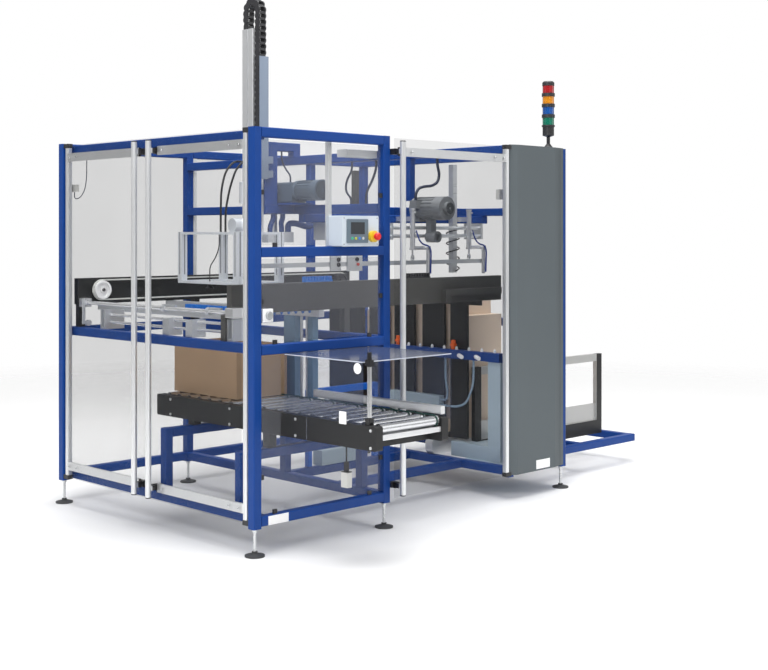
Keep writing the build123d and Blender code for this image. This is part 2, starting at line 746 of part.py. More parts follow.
# Bridge, column, top arm, guide pads and motor plate that hold the plunger's mast
MAST_X = after(MAST_LEFT, MAST_WIDTH)
MAST_Y = after(MAST_FRONT, MAST_DEPTH)
COLUMN_X = after(MAST_X[1] + COLUMN_GAP, COLUMN_WIDTH)
BRIDGE_TOP = LIFT_BEAM_BASE + TUBE
BRIDGE_DEPTH = after(BRIDGE_Y, TUBE)
PLATE_Y = (BRIDGE_DEPTH[1] - MOTOR_PLATE_DEPTH, BRIDGE_DEPTH[1])
ARM_TOP = COLUMN_ARM_BASE + TUBE
bridge = [
    beam_x(COLUMN_X[0], POST_X[1] - HALF, BRIDGE_Y, LIFT_BEAM_BASE),
    rounded(Axis.Z, COLUMN_X, BRIDGE_DEPTH, (BRIDGE_TOP, ARM_TOP), TUBE_ROUND),
    beam_x(COLUMN_X[1] - TUBE_ROUND, POST_X[1] + HALF, BRIDGE_Y, COLUMN_ARM_BASE),
    block(around(POST_X[1], TUBE), BRIDGE_DEPTH, (HEAD_BEAM_BASE + TUBE, COLUMN_ARM_BASE + TUBE_ROUND)),
    block((COLUMN_X[1], MOTOR_PLATE_RIGHT), PLATE_Y, after(BRIDGE_TOP, MOTOR_PLATE)),
]
for z in (BRIDGE_TOP + MAST_FOOT, HEAD_BEAM_BASE):
    pad_y = around(BRIDGE_Y + HALF + TUBE_ROUND / 2, TUBE / 2)
    bridge.append(block((MAST_X[1] + GUIDE_GAP, COLUMN_X[0] + TUBE_ROUND), pad_y, after(z, GUIDE_HEIGHT)))
bridge_right = beam_x(POST_X[1] + HALF, POST_X[3] - HALF, BRIDGE_Y, LIFT_BEAM_BASE)
hanger = post(POST_X[2] - HALF, HANGER_Y, HANGER_BASE, TOP_BEAM_BASE)
save("lift_bridge", [fused(bridge), bridge_right, hanger])

# Mast: an extrusion with T slots down its faces
MAST_Z = (PLUNGER_TOP, MAST_TOP)
mast = rounded(Axis.Z, MAST_X, MAST_Y, MAST_Z, MAST_ROUND)
for x in MAST_X:
    mast -= block(around(x, 2 * SLOT_DEPTH), around(MAST_FRONT + MAST_DEPTH / 2, SLOT), MAST_Z)
for y in MAST_Y:
    for x in (MAST_X[0] + SLOT_INSET, MAST_X[1] - SLOT_INSET):
        mast -= block(around(x, SLOT), around(y, 2 * SLOT_DEPTH), MAST_Z)
save("lift_mast", [mast])

# Energy chain: links on pins, up out of the trough, over an arch and down to a foot on the mast
CHAIN_X = after(MAST_LEFT + CHAIN_SIDE_GAP, CHAIN_WIDTH)
CHAIN_BACK = MAST_Y[1] - CHAIN_BACK_SETBACK
ARCH_OUT = (CHAIN_BACK - CHAIN_FRONT) / 2
ARCH_MID = ARCH_OUT - CHAIN_THICK / 2
ARCH_Y = CHAIN_FRONT + ARCH_OUT
ARCH_Z = CHAIN_TOP - ARCH_OUT
UP_RUN = ARCH_Z - CHAIN_END - CHAIN_THICK / 2
DOWN_RUN = ARCH_Z - MAST_TOP - CHAIN_THICK / 2
ARCH_RUN = pi * ARCH_MID


def chain_pin(run):
    """Place of a pin in the YZ plane after a run along the chain."""
    if run < UP_RUN:
        return (ARCH_Y - ARCH_MID, ARCH_Z - UP_RUN + run)
    if run < UP_RUN + ARCH_RUN:
        angle = (run - UP_RUN) / ARCH_MID
        return (ARCH_Y - ARCH_MID * cos(angle), ARCH_Z + ARCH_MID * sin(angle))
    return (ARCH_Y + ARCH_MID, ARCH_Z - (run - UP_RUN - ARCH_RUN))


def chain_link(start, end, step_in):
    """Two waisted side plates between pins, and a rung across each side of the link."""
    (y0, z0), (y1, z1) = start, end
    along = Vector(0, y1 - y0, z1 - z0)
    place = Plane(origin=(0, y0, z0), x_dir=along, z_dir=(1, 0, 0))
    length = along.length
    middle = (CHAIN_X[0] + CHAIN_X[1]) / 2
    pieces = []
    for side in (-1, 1):
        x = middle + side * (CHAIN_WIDTH / 2 - CHAIN_PLATE / 2 - step_in)
        plate = Pos(length / 2, 0, x) * Box(length, CHAIN_WAIST, CHAIN_PLATE)
        for end_x in (0, length):
            plate += Pos(end_x, 0, x) * Cylinder(CHAIN_THICK / 2, CHAIN_PLATE)
        rung_y = side * (CHAIN_WAIST / 2 - CHAIN_PLATE / 2)
        rung = Pos(length / 2, rung_y, middle) * Box(CHAIN_RUNG, CHAIN_PLATE, CHAIN_WIDTH - 2 * step_in)
        pieces += [place * plate, place * rung]
    return pieces


links = ceil((UP_RUN + ARCH_RUN + DOWN_RUN) / CHAIN_PITCH)
chain_pitch = (UP_RUN + ARCH_RUN + DOWN_RUN) / links
pins = [chain_pin(i * chain_pitch) for i in range(links + 1)]
chain = []
for i in range(links):
    chain += chain_link(pins[i], pins[i + 1], CHAIN_PLATE * (i % 2))
chain_foot_y = around(ARCH_Y + ARCH_MID, CHAIN_WAIST)
chain.append(block(CHAIN_X, chain_foot_y, (MAST_TOP, MAST_TOP + CHAIN_THICK / 2)))
save("energy_chain", [fused(chain)])

# Trough: a light angle in front and to the right of the rising chain
TROUGH_X = (CHAIN_X[0] - CHAIN_SIDE_GAP, CHAIN_X[1] + CHAIN_SIDE_GAP)
TROUGH_BACK = CHAIN_FRONT - CHAIN_SIDE_GAP
TROUGH_RIGHT = after(TROUGH_X[1], TROUGH_SHEET)
trough = [
    block((TROUGH_X[0], TROUGH_RIGHT[1]), (TROUGH_BACK - TROUGH_SHEET, TROUGH_BACK), (TROUGH_BASE, TROUGH_TOP)),
    block(TROUGH_RIGHT, after(TROUGH_BACK, TROUGH_FLANGE), (TROUGH_BASE, TROUGH_TOP)),
]
for z in (HEAD_BEAM_BASE, HEAD_BEAM_BASE - 2 * TROUGH_ARM):
    arm_y = (BRIDGE_Y - TROUGH_ARM / 2, BRIDGE_Y)
    trough.append(block((TROUGH_RIGHT[0], COLUMN_X[0] + TROUGH_ARM), arm_y, after(z, TROUGH_ARM)))
save("chain_trough", [fused(trough)])

# Plunger: a light frame that pushes the blank through the forming opening
PLUNGER_X = around(FORM_X, PLUNGER_WIDTH)
PLUNGER_Y = around(FORM_Y, PLUNGER_DEPTH)


def plunger_frame(z):
    """Rounded plate with two windows and a bar between them."""
    body = rounded(Axis.Z, PLUNGER_X, PLUNGER_Y, z, TUBE_ROUND)
    inner_x = (PLUNGER_X[0] + PLUNGER_BAR, PLUNGER_X[1] - PLUNGER_BAR)
    bar = around(FORM_Y, PLUNGER_BAR)
    body -= block(inner_x, (PLUNGER_Y[0] + PLUNGER_BAR, bar[0]), z)
    body -= block(inner_x, (bar[1], PLUNGER_Y[1] - PLUNGER_BAR), z)
    return body


PLATE_TOP_Z = (PLUNGER_TOP - PLUNGER_PLATE, PLUNGER_TOP)
PLATE_LOW_Z = after(PLUNGER_BASE, PLUNGER_PLATE)
mast_foot = block(
    (PLUNGER_X[1] - PLUNGER_BAR, MAST_X[1] + MAST_ROUND),
    (MAST_Y[0] - MAST_FOOT, MAST_Y[1] + MAST_FOOT),
    PLATE_TOP_Z,
)
plunger = [plunger_frame(PLATE_TOP_Z), plunger_frame(PLATE_LOW_Z), mast_foot]
for x in (PLUNGER_X[0], PLUNGER_X[1] - PLUNGER_LEG):
    for y in (PLUNGER_Y[0], PLUNGER_Y[1] - PLUNGER_LEG):
        leg_z = (PLATE_LOW_Z[1], PLATE_TOP_Z[0])
        plunger.append(rounded(Axis.Z, after(x, PLUNGER_LEG), after(y, PLUNGER_LEG), leg_z, MAST_ROUND))
cup_r = CUP_DIAMETER / 2
cup_outline = [
    (0, 0), (0, -CUP_HEIGHT / 2), (cup_r - 2, -CUP_HEIGHT), (cup_r, -CUP_HEIGHT),
    (cup_r, -CUP_HEIGHT + 4), (cup_r / 2, -CUP_HEIGHT / 3), (cup_r / 2, 0),
]
for x in (PLUNGER_X[0] + PLUNGER_BAR / 2, PLUNGER_X[1] - PLUNGER_BAR / 2):
    plunger.append(turned(cup_outline, x, FORM_Y, PLUNGER_BASE))
ejector_z = PLUNGER_TOP + EJECTOR_DIAMETER / 2
EJECTOR_X = (MAST_X[0] - EJECTOR_LENGTH, MAST_X[0])
plunger.append(rod_x(*EJECTOR_X, FORM_Y, ejector_z, EJECTOR_DIAMETER))
plunger.append(block(EJECTOR_X, around(FORM_Y, PLUNGER_BAR), (PLATE_TOP_Z[0], ejector_z)))
unit_x = MAST_X[0] - UNIT_DIAMETER / 2 - MAST_ROUND
unit = rod_z(UNIT_BASE, UNIT_TOP, unit_x, FORM_Y, UNIT_DIAMETER)
for z in (UNIT_BASE, UNIT_TOP - GEARBOX_ROUND):
    unit += block((unit_x, MAST_X[0]), around(FORM_Y, UNIT_DIAMETER / 2), after(z, GEARBOX_ROUND))
save("plunger", [fused(plunger), unit])

# Feed beams with their belt wheels and belts
NEAR_BEAM_BACK = NEAR_BEAM_FRONT + FEED_BEAM_DEPTH
FEED_BEAM_Z = (FEED_BEAM_BASE, FEED_BEAM_TOP)
beam_starts = {NEAR_BEAM_FRONT: NEAR_BEAM_LEFT, FAR_BEAM_FRONT: FAR_BEAM_LEFT}
feed_beams = []
for y, left in beam_starts.items():
    depth = after(y, FEED_BEAM_DEPTH)
    pieces = [rounded(Axis.X, (left, FEED_BEAM_RIGHT), depth, FEED_BEAM_Z, MAST_ROUND)]
    leg_top = FEED_BEAM_BASE + MAST_ROUND
    pieces.append(block(after(POST_X[1] - HALF / 2, FEED_BEAM_DEPTH), depth, (WORK_BEAM_BASE + TUBE, leg_top)))
    left_leg = after(END_BEAM_RIGHT - LEFT_LEG, FEED_BEAM_DEPTH)
    pieces.append(block(left_leg, depth, (WORK_BEAM_BASE + TUBE, FEED_BEAM_BASE)))
    pieces.append(block((left_leg[1], left_leg[1] + FEED_BEAM_DEPTH), depth, (FEED_BEAM_BASE - CLIP_DEPTH, leg_top)))
    feed_beams.append(fused(pieces))
l_bar_y = (NEAR_BEAM_FRONT - L_BAR_DEPTH, NEAR_BEAM_FRONT)
l_bar_z = after(FEED_BEAM_BASE + L_BAR_LIFT, FEED_BEAM_DEPTH)
l_bar = [
    block((L_BAR_LEFT, FEED_BEAM_RIGHT - L_BAR_DEPTH), l_bar_y, l_bar_z),
    block(after(L_BAR_LEFT, TUBE), l_bar_y, (FEED_BEAM_BASE, l_bar_z[1])),
]
feed_beams[0] = fused([feed_beams[0]] + l_bar)
cable_post_z = (BRIDGE_TOP, HEAD_BEAM_BASE - TUBE)
cable_post = rounded(Axis.Z, around(POST_X[1], STILE), around(CABLE_POST_Y, STILE), cable_post_z, MAST_ROUND)
save("feed_beams", feed_beams + [cable_post])
WHEEL_X = (WHEEL_LEFT, FEED_BEAM_RIGHT - WHEEL_INSET)
WHEEL_Y = (NEAR_BEAM_BACK + WHEEL_GAP, FAR_BEAM_FRONT - WHEEL_GAP - WHEEL_WIDTH)


def belt_wheel(x, y):
    """Wheel with a recessed face round its hub, and a stub axle to its beam."""
    wheel = rod_y(*after(y, WHEEL_WIDTH), x, WHEEL_Z, WHEEL_DIAMETER)
    beam_side = after(y + WHEEL_WIDTH, WHEEL_GAP)
    face = (y - 1, y + BELT_WIDTH)
    if y == WHEEL_Y[0]:
        beam_side = (y - WHEEL_GAP, y)
        face = (y + WHEEL_WIDTH - BELT_WIDTH, y + WHEEL_WIDTH + 1)
    recess = rod_y(*face, x, WHEEL_Z, WHEEL_DIAMETER * 0.78)
    recess -= rod_y(*face, x, WHEEL_Z, HUB_DIAMETER * 1.6)
    return wheel - recess + rod_y(*beam_side, x, WHEEL_Z, HUB_DIAMETER)


save("belt_wheels", [belt_wheel(x, y) for x in WHEEL_X for y in WHEEL_Y])


def belt_core(radius, y):
    """Solid loop shape round both wheels of a beam."""
    depth = after(y, BELT_WIDTH)
    ends = [rod_y(*depth, x, WHEEL_Z, 2 * radius) for x in WHEEL_X]
    return fused(ends + [block(WHEEL_X, depth, around(WHEEL_Z, 2 * radius))])


belt_in = WHEEL_DIAMETER / 2 + BELT_LIFT
belt_y = [y + (WHEEL_WIDTH - BELT_WIDTH) / 2 for y in WHEEL_Y]
save("feed_belts", [belt_core(belt_in + BELT_THICK, y) - belt_core(belt_in, y) for y in belt_y])

# Folding gear: a cross rod in two end blocks, and two lower rods between yokes on the end beam
BLOCK_Y = ((NEAR_BEAM_FRONT - 62, NEAR_BEAM_FRONT), (FAR_BEAM_FRONT - FOLD_BLOCK, FAR_BEAM_FRONT))
fold_rod = [rod_y(BLOCK_Y[0][1], BLOCK_Y[1][0], FOLD_ROD_X, FOLD_ROD_Z, FOLD_ROD)]
fold_rod.append(rounded(
    Axis.Y, (FOLD_ROD_X - FOLD_BLOCK / 2, NEAR_BEAM_LEFT + FOLD_BLOCK / 2), BLOCK_Y[0],
    around(FOLD_ROD_Z, FOLD_BLOCK), MAST_ROUND,
))
fold_rod.append(rounded(Axis.Y, around(FOLD_ROD_X, FOLD_BLOCK), BLOCK_Y[1], around(FOLD_ROD_Z, FOLD_BLOCK), MAST_ROUND))
low_rods = [rod_y(YOKE_FRONT + YOKE_DEPTH, YOKE_BACK, LOW_ROD_X, z, LOW_ROD) for z in LOW_ROD_Z]
save("former_rods", [fused(fold_rod)] + low_rods)

# Grey metal: the yokes, the carriages on the rods, levers, and plates on the pick unit
END_BEAM_TOP = WORK_BEAM_BASE + TUBE
YOKE_X = (YOKE_LEFT, YOKE_RIGHT)
metal = []
for y in (YOKE_FRONT, YOKE_BACK):
    base = block(YOKE_X, after(y, YOKE_DEPTH), after(END_BEAM_TOP, YOKE_PLATE))
    cheeks = [
        rounded(Axis.Y, YOKE_X, after(at, YOKE_PLATE), (END_BEAM_TOP, YOKE_TOP), MAST_ROUND)
        for at in (y, y + YOKE_DEPTH - YOKE_PLATE)
    ]
    metal.append(fused([base] + cheeks))
for y in CARRIAGE_Y:
    depth = after(y, CARRIAGE_DEPTH)
    body = rounded(Axis.Y, (YOKE_LEFT, YOKE_RIGHT - 40), depth, (END_BEAM_TOP, YOKE_TOP - 20), MAST_ROUND)
    for z in LOW_ROD_Z:
        body -= rod_y(*depth, LOW_ROD_X, z, LOW_ROD + 2 * PIN_CLEARANCE)
    metal.append(body)
lever_y = after(BLOCK_Y[1][0] - YOKE_PLATE, YOKE_PLATE)
lever = block((FOLD_ROD_X - 38, FOLD_ROD_X - 24), lever_y, (END_BEAM_TOP + 20, FOLD_ROD_Z + FOLD_BLOCK / 2))
lever += block((FOLD_ROD_X - 38, FOLD_ROD_X), lever_y, (END_BEAM_TOP + 20, END_BEAM_TOP + 34))
lever += block((FOLD_ROD_X - 38, FOLD_ROD_X - 14), lever_y, around(FOLD_ROD_Z, FOLD_BLOCK / 2))
lever += rod_y(lever_y[0] - WHEEL_GAP, lever_y[1], FOLD_ROD_X, END_BEAM_TOP + 27, 36)
lever -= rod_y(lever_y[0] - WHEEL_GAP, lever_y[1], FOLD_ROD_X, FOLD_ROD_Z, FOLD_ROD + 2 * PIN_CLEARANCE)
metal.append(lever)
for y in (460, 860):
    ring = rod_y(*after(y, HUB_DIAMETER), FOLD_ROD_X, FOLD_ROD_Z, FOLD_ROD * 1.8)
    ring += block(around(FOLD_ROD_X, PLUNGER_PLATE), (y - 95, y + HUB_DIAMETER), after(FOLD_ROD_Z + FOLD_ROD / 2, MAST_FOOT))
    metal.append(ring - rod_y(y - 100, y + 50, FOLD_ROD_X, FOLD_ROD_Z, FOLD_ROD + 2 * PIN_CLEARANCE))
manifold = block((680, 870), (BRIDGE_Y, BRIDGE_DEPTH[1] + 8), (PLUNGER_TOP - 60, PLUNGER_TOP))
manifold += block(around(775, 20), (BRIDGE_DEPTH[1] - 3, BRIDGE_DEPTH[1] + 8), (PLUNGER_TOP, LIFT_BEAM_BASE))
metal.append(manifold)
save("metal_brackets", metal)

# Two profiles across between the feed beams, with painted side legs under the right one
profile_z = after(CROSS_PROFILE_BASE, CROSS_PROFILE)
profile_y = (NEAR_BEAM_FRONT, FAR_BEAM_FRONT + FEED_BEAM_DEPTH)
profiles = [
    rounded(Axis.Y, after(x, CROSS_PROFILE), profile_y, profile_z, MAST_ROUND)
    for x in CROSS_PROFILE_X
]
leg_x = after(CROSS_PROFILE_X[1], CROSS_PROFILE)
leg_z = (SIDE_LEG_BASE, CROSS_PROFILE_BASE)
side_legs = [
    block(leg_x, after(SIDE_LEG_NEAR, SIDE_LEG_WIDTH), leg_z),
    block(leg_x, after(NEAR_BEAM_BACK + 10, CROSS_PROFILE), leg_z),
]
guide_rods = [rod_z(*leg_z, CROSS_PROFILE_X[1] + CROSS_PROFILE / 2, y, LOW_ROD) for y in (420, 465)]
save("cross_profiles", profiles + guide_rods)
save("former_legs", side_legs)

# Blue cable chains: one on the left cross profile, one on the near feed beam
def cable_chain(along_x, start, count, cross, base):
    """Flat links with a gap between neighbours, on a thin strip."""
    length = count * CABLE_CHAIN_PITCH
    strip_z = after(base, CABLE_CHAIN_HEIGHT / 3)
    pieces = [block(after(start, length), cross, strip_z)]
    for i in range(count):
        link = after(start + i * CABLE_CHAIN_PITCH, CABLE_CHAIN_PITCH * 0.7)
        pieces.append(block(link, cross, after(base, CABLE_CHAIN_HEIGHT)))
    chain = fused(pieces)
    if along_x:
        return chain
    return mirror(Rot(0, 0, 90) * chain, Plane.YZ)


profile_chain = cable_chain(False, 430, 20, around(CROSS_PROFILE_X[0] + CROSS_PROFILE / 2, 30), profile_z[1])
beam_chain = cable_chain(True, 600, 9, around(NEAR_BEAM_FRONT + FEED_BEAM_DEPTH / 2, 30), FEED_BEAM_TOP)
right_chain = cable_chain(True, 1388, 9, around(NEAR_BEAM_FRONT + FEED_BEAM_DEPTH / 2, 30), FEED_BEAM_TOP)
save("cable_chains", [profile_chain, beam_chain, right_chain])

# Pick unit: rails in hangers under the beam, and a long bar on the rods of two air cylinders
PICK_BEAM_BASE = LIFT_BEAM_BASE - TUBE
pick = [rod_x(PICK_HANGER_X[0], PICK_HANGER_X[-1] + PICK_HANGER, PICK_RAIL_Y, z, PICK_RAIL) for z in PICK_RAIL_Z]
hanger_z = (PICK_RAIL_Z[0] - PICK_RAIL, PICK_BEAM_BASE)
hanger_y = (PICK_RAIL_Y - PICK_RAIL, PICK_BEAM_FRONT + TUBE)
for x in PICK_HANGER_X:
    pick.append(block(after(x, PICK_HANGER), hanger_y, hanger_z))
pick_bar_z = after(PICK_BAR_BASE, PICK_BAR)
pick_bar = [block((PICK_BAR_LEFT, PICK_BAR_RIGHT), around(PICK_Y, PICK_BAR), pick_bar_z)]
plate_y = (PICK_Y - PICK_BAR / 2 - YOKE_PLATE, PICK_Y - PICK_BAR / 2)
for left, right, low, high in ((940, 1022, 1376, 1500), (1072, 1190, 1374, 1500)):
    plate = rounded(Axis.Y, (left, right), plate_y, (low, high), MAST_ROUND)
    plate -= rod_y(*plate_y, (left + right) / 2, high - 30, FOLD_ROD)
    pick_bar.append(plate)
pick_post = rounded(
    Axis.Z, after(PICK_POST_X, CROSS_PROFILE), (PICK_BEAM_FRONT - CROSS_PROFILE, PICK_BEAM_FRONT),
    (PICK_POST_BASE, PICK_POST_TOP), MAST_ROUND,
)
save("pick_frame", [fused(pick), fused(pick_bar), pick_post])
CYLINDER_BASE = pick_bar_z[1] + CYLINDER_ROD
CYLINDER_TOP = CYLINDER_BASE + CYLINDER_LENGTH
cyl_r = CYLINDER_DIAMETER / 2
rod_r = 6
collar_r = cyl_r + 3
cylinder_outline = [
    (0, pick_bar_z[1]), (rod_r, pick_bar_z[1]), (rod_r, CYLINDER_BASE), (collar_r, CYLINDER_BASE),
    (collar_r, CYLINDER_BASE + 14), (cyl_r, CYLINDER_BASE + 14), (cyl_r, CYLINDER_TOP - 14),
    (collar_r, CYLINDER_TOP - 14), (collar_r, CYLINDER_TOP), (0, CYLINDER_TOP),
]
mount_z = (PICK_BEAM_BASE + MAST_FOOT, LIFT_BEAM_BASE - MAST_FOOT)
arm_start = CYLINDER_BASE + ARM_TUBE / 2
cylinders = []
for x in CYLINDER_X:
    pieces = [turned(cylinder_outline, x, PICK_Y)]
    pieces.append(block(around(x, CYLINDER_DIAMETER), (PICK_Y, PICK_BEAM_FRONT), mount_z))
    pieces.append(rod_x(x, x + ARM_REACH, PICK_Y, arm_start, ARM_TUBE))
    pieces.append(rod_z(CYLINDER_BASE - ARM_DROP, arm_start, x + ARM_REACH, PICK_Y - PICK_BAR, ARM_TUBE))
    pieces.append(Pos(x + ARM_REACH, PICK_Y - PICK_BAR / 2, arm_start) * Box(ARM_TUBE, PICK_BAR + ARM_TUBE, ARM_TUBE))
    cylinders.append(fused(pieces))
save("pick_cylinders", cylinders)

# Gearmotor of the plunger and blower of the pick unit, both with cooling ribs
def ribbed(y0, y1, x, z, diameter):
    """Motor barrel with ribs along it."""
    barrel = rod_y(y0, y1, x, z, diameter - 2 * MOTOR_FIN)
    ribs = []
    for i in range(MOTOR_FINS):
        turn = Rot(0, 360 / MOTOR_FINS * i, 0)
        rib = Pos(0, (y0 + y1) / 2, diameter / 2 - MOTOR_FIN) * Box(MOTOR_FIN * 0.8, y1 - y0, 2 * MOTOR_FIN)
        ribs.append(Pos(x, 0, z) * turn * rib)
    return barrel.fuse(*ribs)


MOTOR_BASE = BRIDGE_TOP + MOTOR_PLATE
MOTOR_Z = MOTOR_BASE + MOTOR_DIAMETER / 2 + MAST_FOOT
gear_x = around(MOTOR_X, 2 * GEARBOX_HALF)
gear_y = (PLATE_Y[1] - GEARBOX_DEPTH, PLATE_Y[1])
motor_y = (gear_y[0] - MOTOR_LENGTH, gear_y[0])
gearmotor = [
    rounded(Axis.Y, gear_x, gear_y, after(MOTOR_BASE, GEARBOX_HEIGHT), GEARBOX_ROUND),
    rod_y(motor_y[1] - MOTOR_COWL, motor_y[1], MOTOR_X, MOTOR_Z, MOTOR_DIAMETER),
    ribbed(motor_y[0] + MOTOR_COWL, motor_y[1] - MOTOR_COWL, MOTOR_X, MOTOR_Z, MOTOR_DIAMETER),
    rod_y(motor_y[0], motor_y[0] + 2 * MOTOR_COWL, MOTOR_X, MOTOR_Z, MOTOR_DIAMETER),
    block((MOTOR_X, MOTOR_X + MOTOR_DIAMETER / 2 + MOTOR_COWL), around(sum(motor_y) / 2, TERMINAL_BOX), around(MOTOR_Z, TUBE)),
    rod_x(COLUMN_X[1], gear_x[0] + GEARBOX_ROUND, BRIDGE_Y + HALF, MOTOR_Z, SHAFT_DIAMETER),
]
BLOWER_Y = (PICK_BEAM_FRONT - WHEEL_GAP - BLOWER_LENGTH, PICK_BEAM_FRONT - WHEEL_GAP)
barrel_y = (BLOWER_Y[0] + BLOWER_END_LENGTH, BLOWER_Y[1])
outlet_y = (PICK_RAIL_Y - PICK_RAIL - OUTLET_LENGTH, PICK_RAIL_Y - PICK_RAIL)
box_x = after(BLOWER_X - BLOWER_DIAMETER / 2 - MOTOR_COWL, TERMINAL_BOX)
blower = [
    ribbed(*barrel_y, BLOWER_X, BLOWER_Z, BLOWER_DIAMETER),
    rod_y(barrel_y[0], barrel_y[0] + 3 * MOTOR_COWL, BLOWER_X, BLOWER_Z, BLOWER_DIAMETER),
    rod_y(barrel_y[1] - MOTOR_COWL, barrel_y[1], BLOWER_X, BLOWER_Z, BLOWER_DIAMETER),
    rod_y(BLOWER_Y[0], barrel_y[0], BLOWER_X, BLOWER_Z, BLOWER_END),
    block(box_x, around(BLOWER_Y[1] - TERMINAL_BOX, TERMINAL_BOX), after(BLOWER_Z, TUBE)),
    block(around(BLOWER_X, BLOWER_END), (BLOWER_Y[1] - TERMINAL_BOX, PICK_BEAM_FRONT), mount_z),
    rod_y(*outlet_y, BLOWER_X, OUTLET_Z, OUTLET_DIAMETER),
    block(around(BLOWER_X, OUTLET_BORE), (outlet_y[1] - OUTLET_BORE, outlet_y[1]), (OUTLET_Z, BLOWER_Z)),
]
outlet_bore = rod_y(outlet_y[0], outlet_y[0] + OUTLET_BORE / 2, BLOWER_X, OUTLET_Z, OUTLET_BORE)
save("drive_motors", [fused(gearmotor), fused(blower) - outlet_bore])

# Conveyor side plates with nosed ends, rollers, cross bars with feet, and the guide bar
LEFT_PLATE = after(CONVEYOR_LEFT, SIDE_PLATE)
RIGHT_PLATE = (CONVEYOR_RIGHT - SIDE_PLATE, CONVEYOR_RIGHT)
ROLLER_Z = ROLLER_TOP - ROLLER_DIAMETER / 2
CONVEYOR_Y = (CONVEYOR_FRONT, CONVEYOR_BACK)
save("conveyor_sides", [
    rounded(Axis.X, x, CONVEYOR_Y, (SIDE_BASE, SIDE_TOP), SIDE_ROUND)
    for x in (LEFT_PLATE, RIGHT_PLATE)
])
INNER = (LEFT_PLATE[1], RIGHT_PLATE[0])
first_roller = CONVEYOR_FRONT + ROLLER_FIRST
roller_count = int((CONVEYOR_BACK - ROLLER_FIRST - first_roller) / ROLLER_PITCH) + 1
rollers = []
for i in range(roller_count):
    y = first_roller + i * ROLLER_PITCH
    body = rod_x(INNER[0] + ROLLER_END_GAP, INNER[1] - ROLLER_END_GAP, y, ROLLER_Z, ROLLER_DIAMETER)
    rollers.append(body + rod_x(*INNER, y, ROLLER_Z, ROLLER_AXLE))
save("conveyor_rollers", rollers)
supports = [block(INNER, after(CONVEYOR_FRONT + 2 * SIDE_PLATE, TUBE), after(SIDE_BASE, CROSS_BAR_HEIGHT))]
for y, seat in ((LOW_NEAR, LOW_NEAR_TOP), (LOW_FAR, LOW_FAR_TOP)):
    pieces = [block(INNER, after(y, TUBE), after(SIDE_BASE, CROSS_BAR_HEIGHT))]
    for x in (INNER[0], INNER[1] - TUBE):
        pieces.append(block(after(x, TUBE), after(y, TUBE), (seat, SIDE_BASE + MAST_ROUND)))
    supports.append(fused(pieces))
save("conveyor_supports", supports)
GUIDE_BAR_X = (RIGHT_PLATE[0] + 12, RIGHT_PLATE[1] - 3)
guide_bar = [rounded(
    Axis.Y, GUIDE_BAR_X, (CONVEYOR_FRONT + 20, GUIDE_BAR_BACK), after(GUIDE_BAR_BASE, GUIDE_BAR_HEIGHT), MAST_ROUND,
)]
for y in (CONVEYOR_FRONT / 2, GUIDE_BAR_BACK - 2 * TUBE):
    guide_bar.append(block(around(sum(GUIDE_BAR_X) / 2, 20), after(y, 20), (SIDE_TOP, GUIDE_BAR_BASE + MAST_ROUND)))
outlet_bar_y = after(CONVEYOR_FRONT + OUTLET_BAR_INSET, CROSS_PROFILE)
outlet_bar = rounded(Axis.X, INNER, outlet_bar_y, around(ROLLER_Z - CROSS_PROFILE, OUTLET_BAR), MAST_ROUND)
save("guide_bar", [fused(guide_bar), outlet_bar])

# Clear tunnel over the conveyor's outlet, with one support rod in two clamps
TUNNEL_Y = (TUNNEL_FRONT, FRONT_FACE)
ROOF_BASE = TUNNEL_TOP - SHEET
tunnel = [
    block(after(TUNNEL_LEFT, SHEET), TUNNEL_Y, (SIDE_TOP, ROOF_BASE)),
    block((TUNNEL_RIGHT - SHEET, TUNNEL_RIGHT), TUNNEL_Y, (SIDE_TOP - ROD_CLAMP, ROOF_BASE)),
    block((TUNNEL_LEFT, TUNNEL_RIGHT), TUNNEL_Y, (ROOF_BASE, TUNNEL_TOP)),
]
save("tunnel_guard", [fused(tunnel)])
ROD_X = CONVEYOR_LEFT + SIDE_PLATE - ROD_CLAMP / 2
ROD_Y = TUNNEL_FRONT - ROD_CLAMP / 2
clamp_x = around(ROD_X, ROD_CLAMP)
clamp_y = (TUNNEL_FRONT - ROD_CLAMP, TUNNEL_FRONT)
save("tunnel_rod", [fused([
    rod_z(SIDE_TOP, TUNNEL_TOP + 2 * TUNNEL_ROD, ROD_X, ROD_Y, TUNNEL_ROD),
    rounded(Axis.Z, clamp_x, clamp_y, after(TUNNEL_TOP - TUNNEL_ROD, ROD_CLAMP), MAST_ROUND),
    rounded(Axis.Z, clamp_x, clamp_y, after(SIDE_TOP, ROD_CLAMP), MAST_ROUND),
])])

# Operator box with its screen, stop button and the upright behind it
box = rounded(Axis.Y, (BOX_LEFT, BOX_RIGHT), (BOX_FRONT, HALF), after(BOX_BASE, BOX_HEIGHT), TUBE_ROUND)
save("operator_box", [box])
screen_x = after(BOX_LEFT + 30, 150)
screen_y = (BOX_FRONT - TUBE_ROUND, BOX_FRONT)
save("operator_screen", [rounded(Axis.Y, screen_x, screen_y, around(BOX_BASE + BOX_HEIGHT / 2, 124), TUBE_ROUND)])
stop_outline = [(0, 0), (30, 0), (30, 22), (14, 26), (14, 34), (20, 38), (20, 48), (15, 54), (0, 54)]
stop = Pos(BOX_RIGHT - 48, BOX_FRONT, BOX_BASE + 52) * Rot(90, 0, 0) * turned(stop_outline)
save("emergency_stop", [stop])
upright_x = after(BOX_LEFT + 16, CONDUIT)
upright_y = after(HALF, CONDUIT)
upright_z = (WINDOW_BEAM_BASE + TUBE_ROUND, FRAME_TOP - TUBE_ROUND)
rear_upright_x = after(POST_X[1] + HALF, CONDUIT)
rear_upright_z = (WORK_BEAM_BASE + TUBE, TOP_BEAM_BASE)
shelf_x = (POST_X[1] - HALF - SHELF_LENGTH, POST_X[1] - HALF)
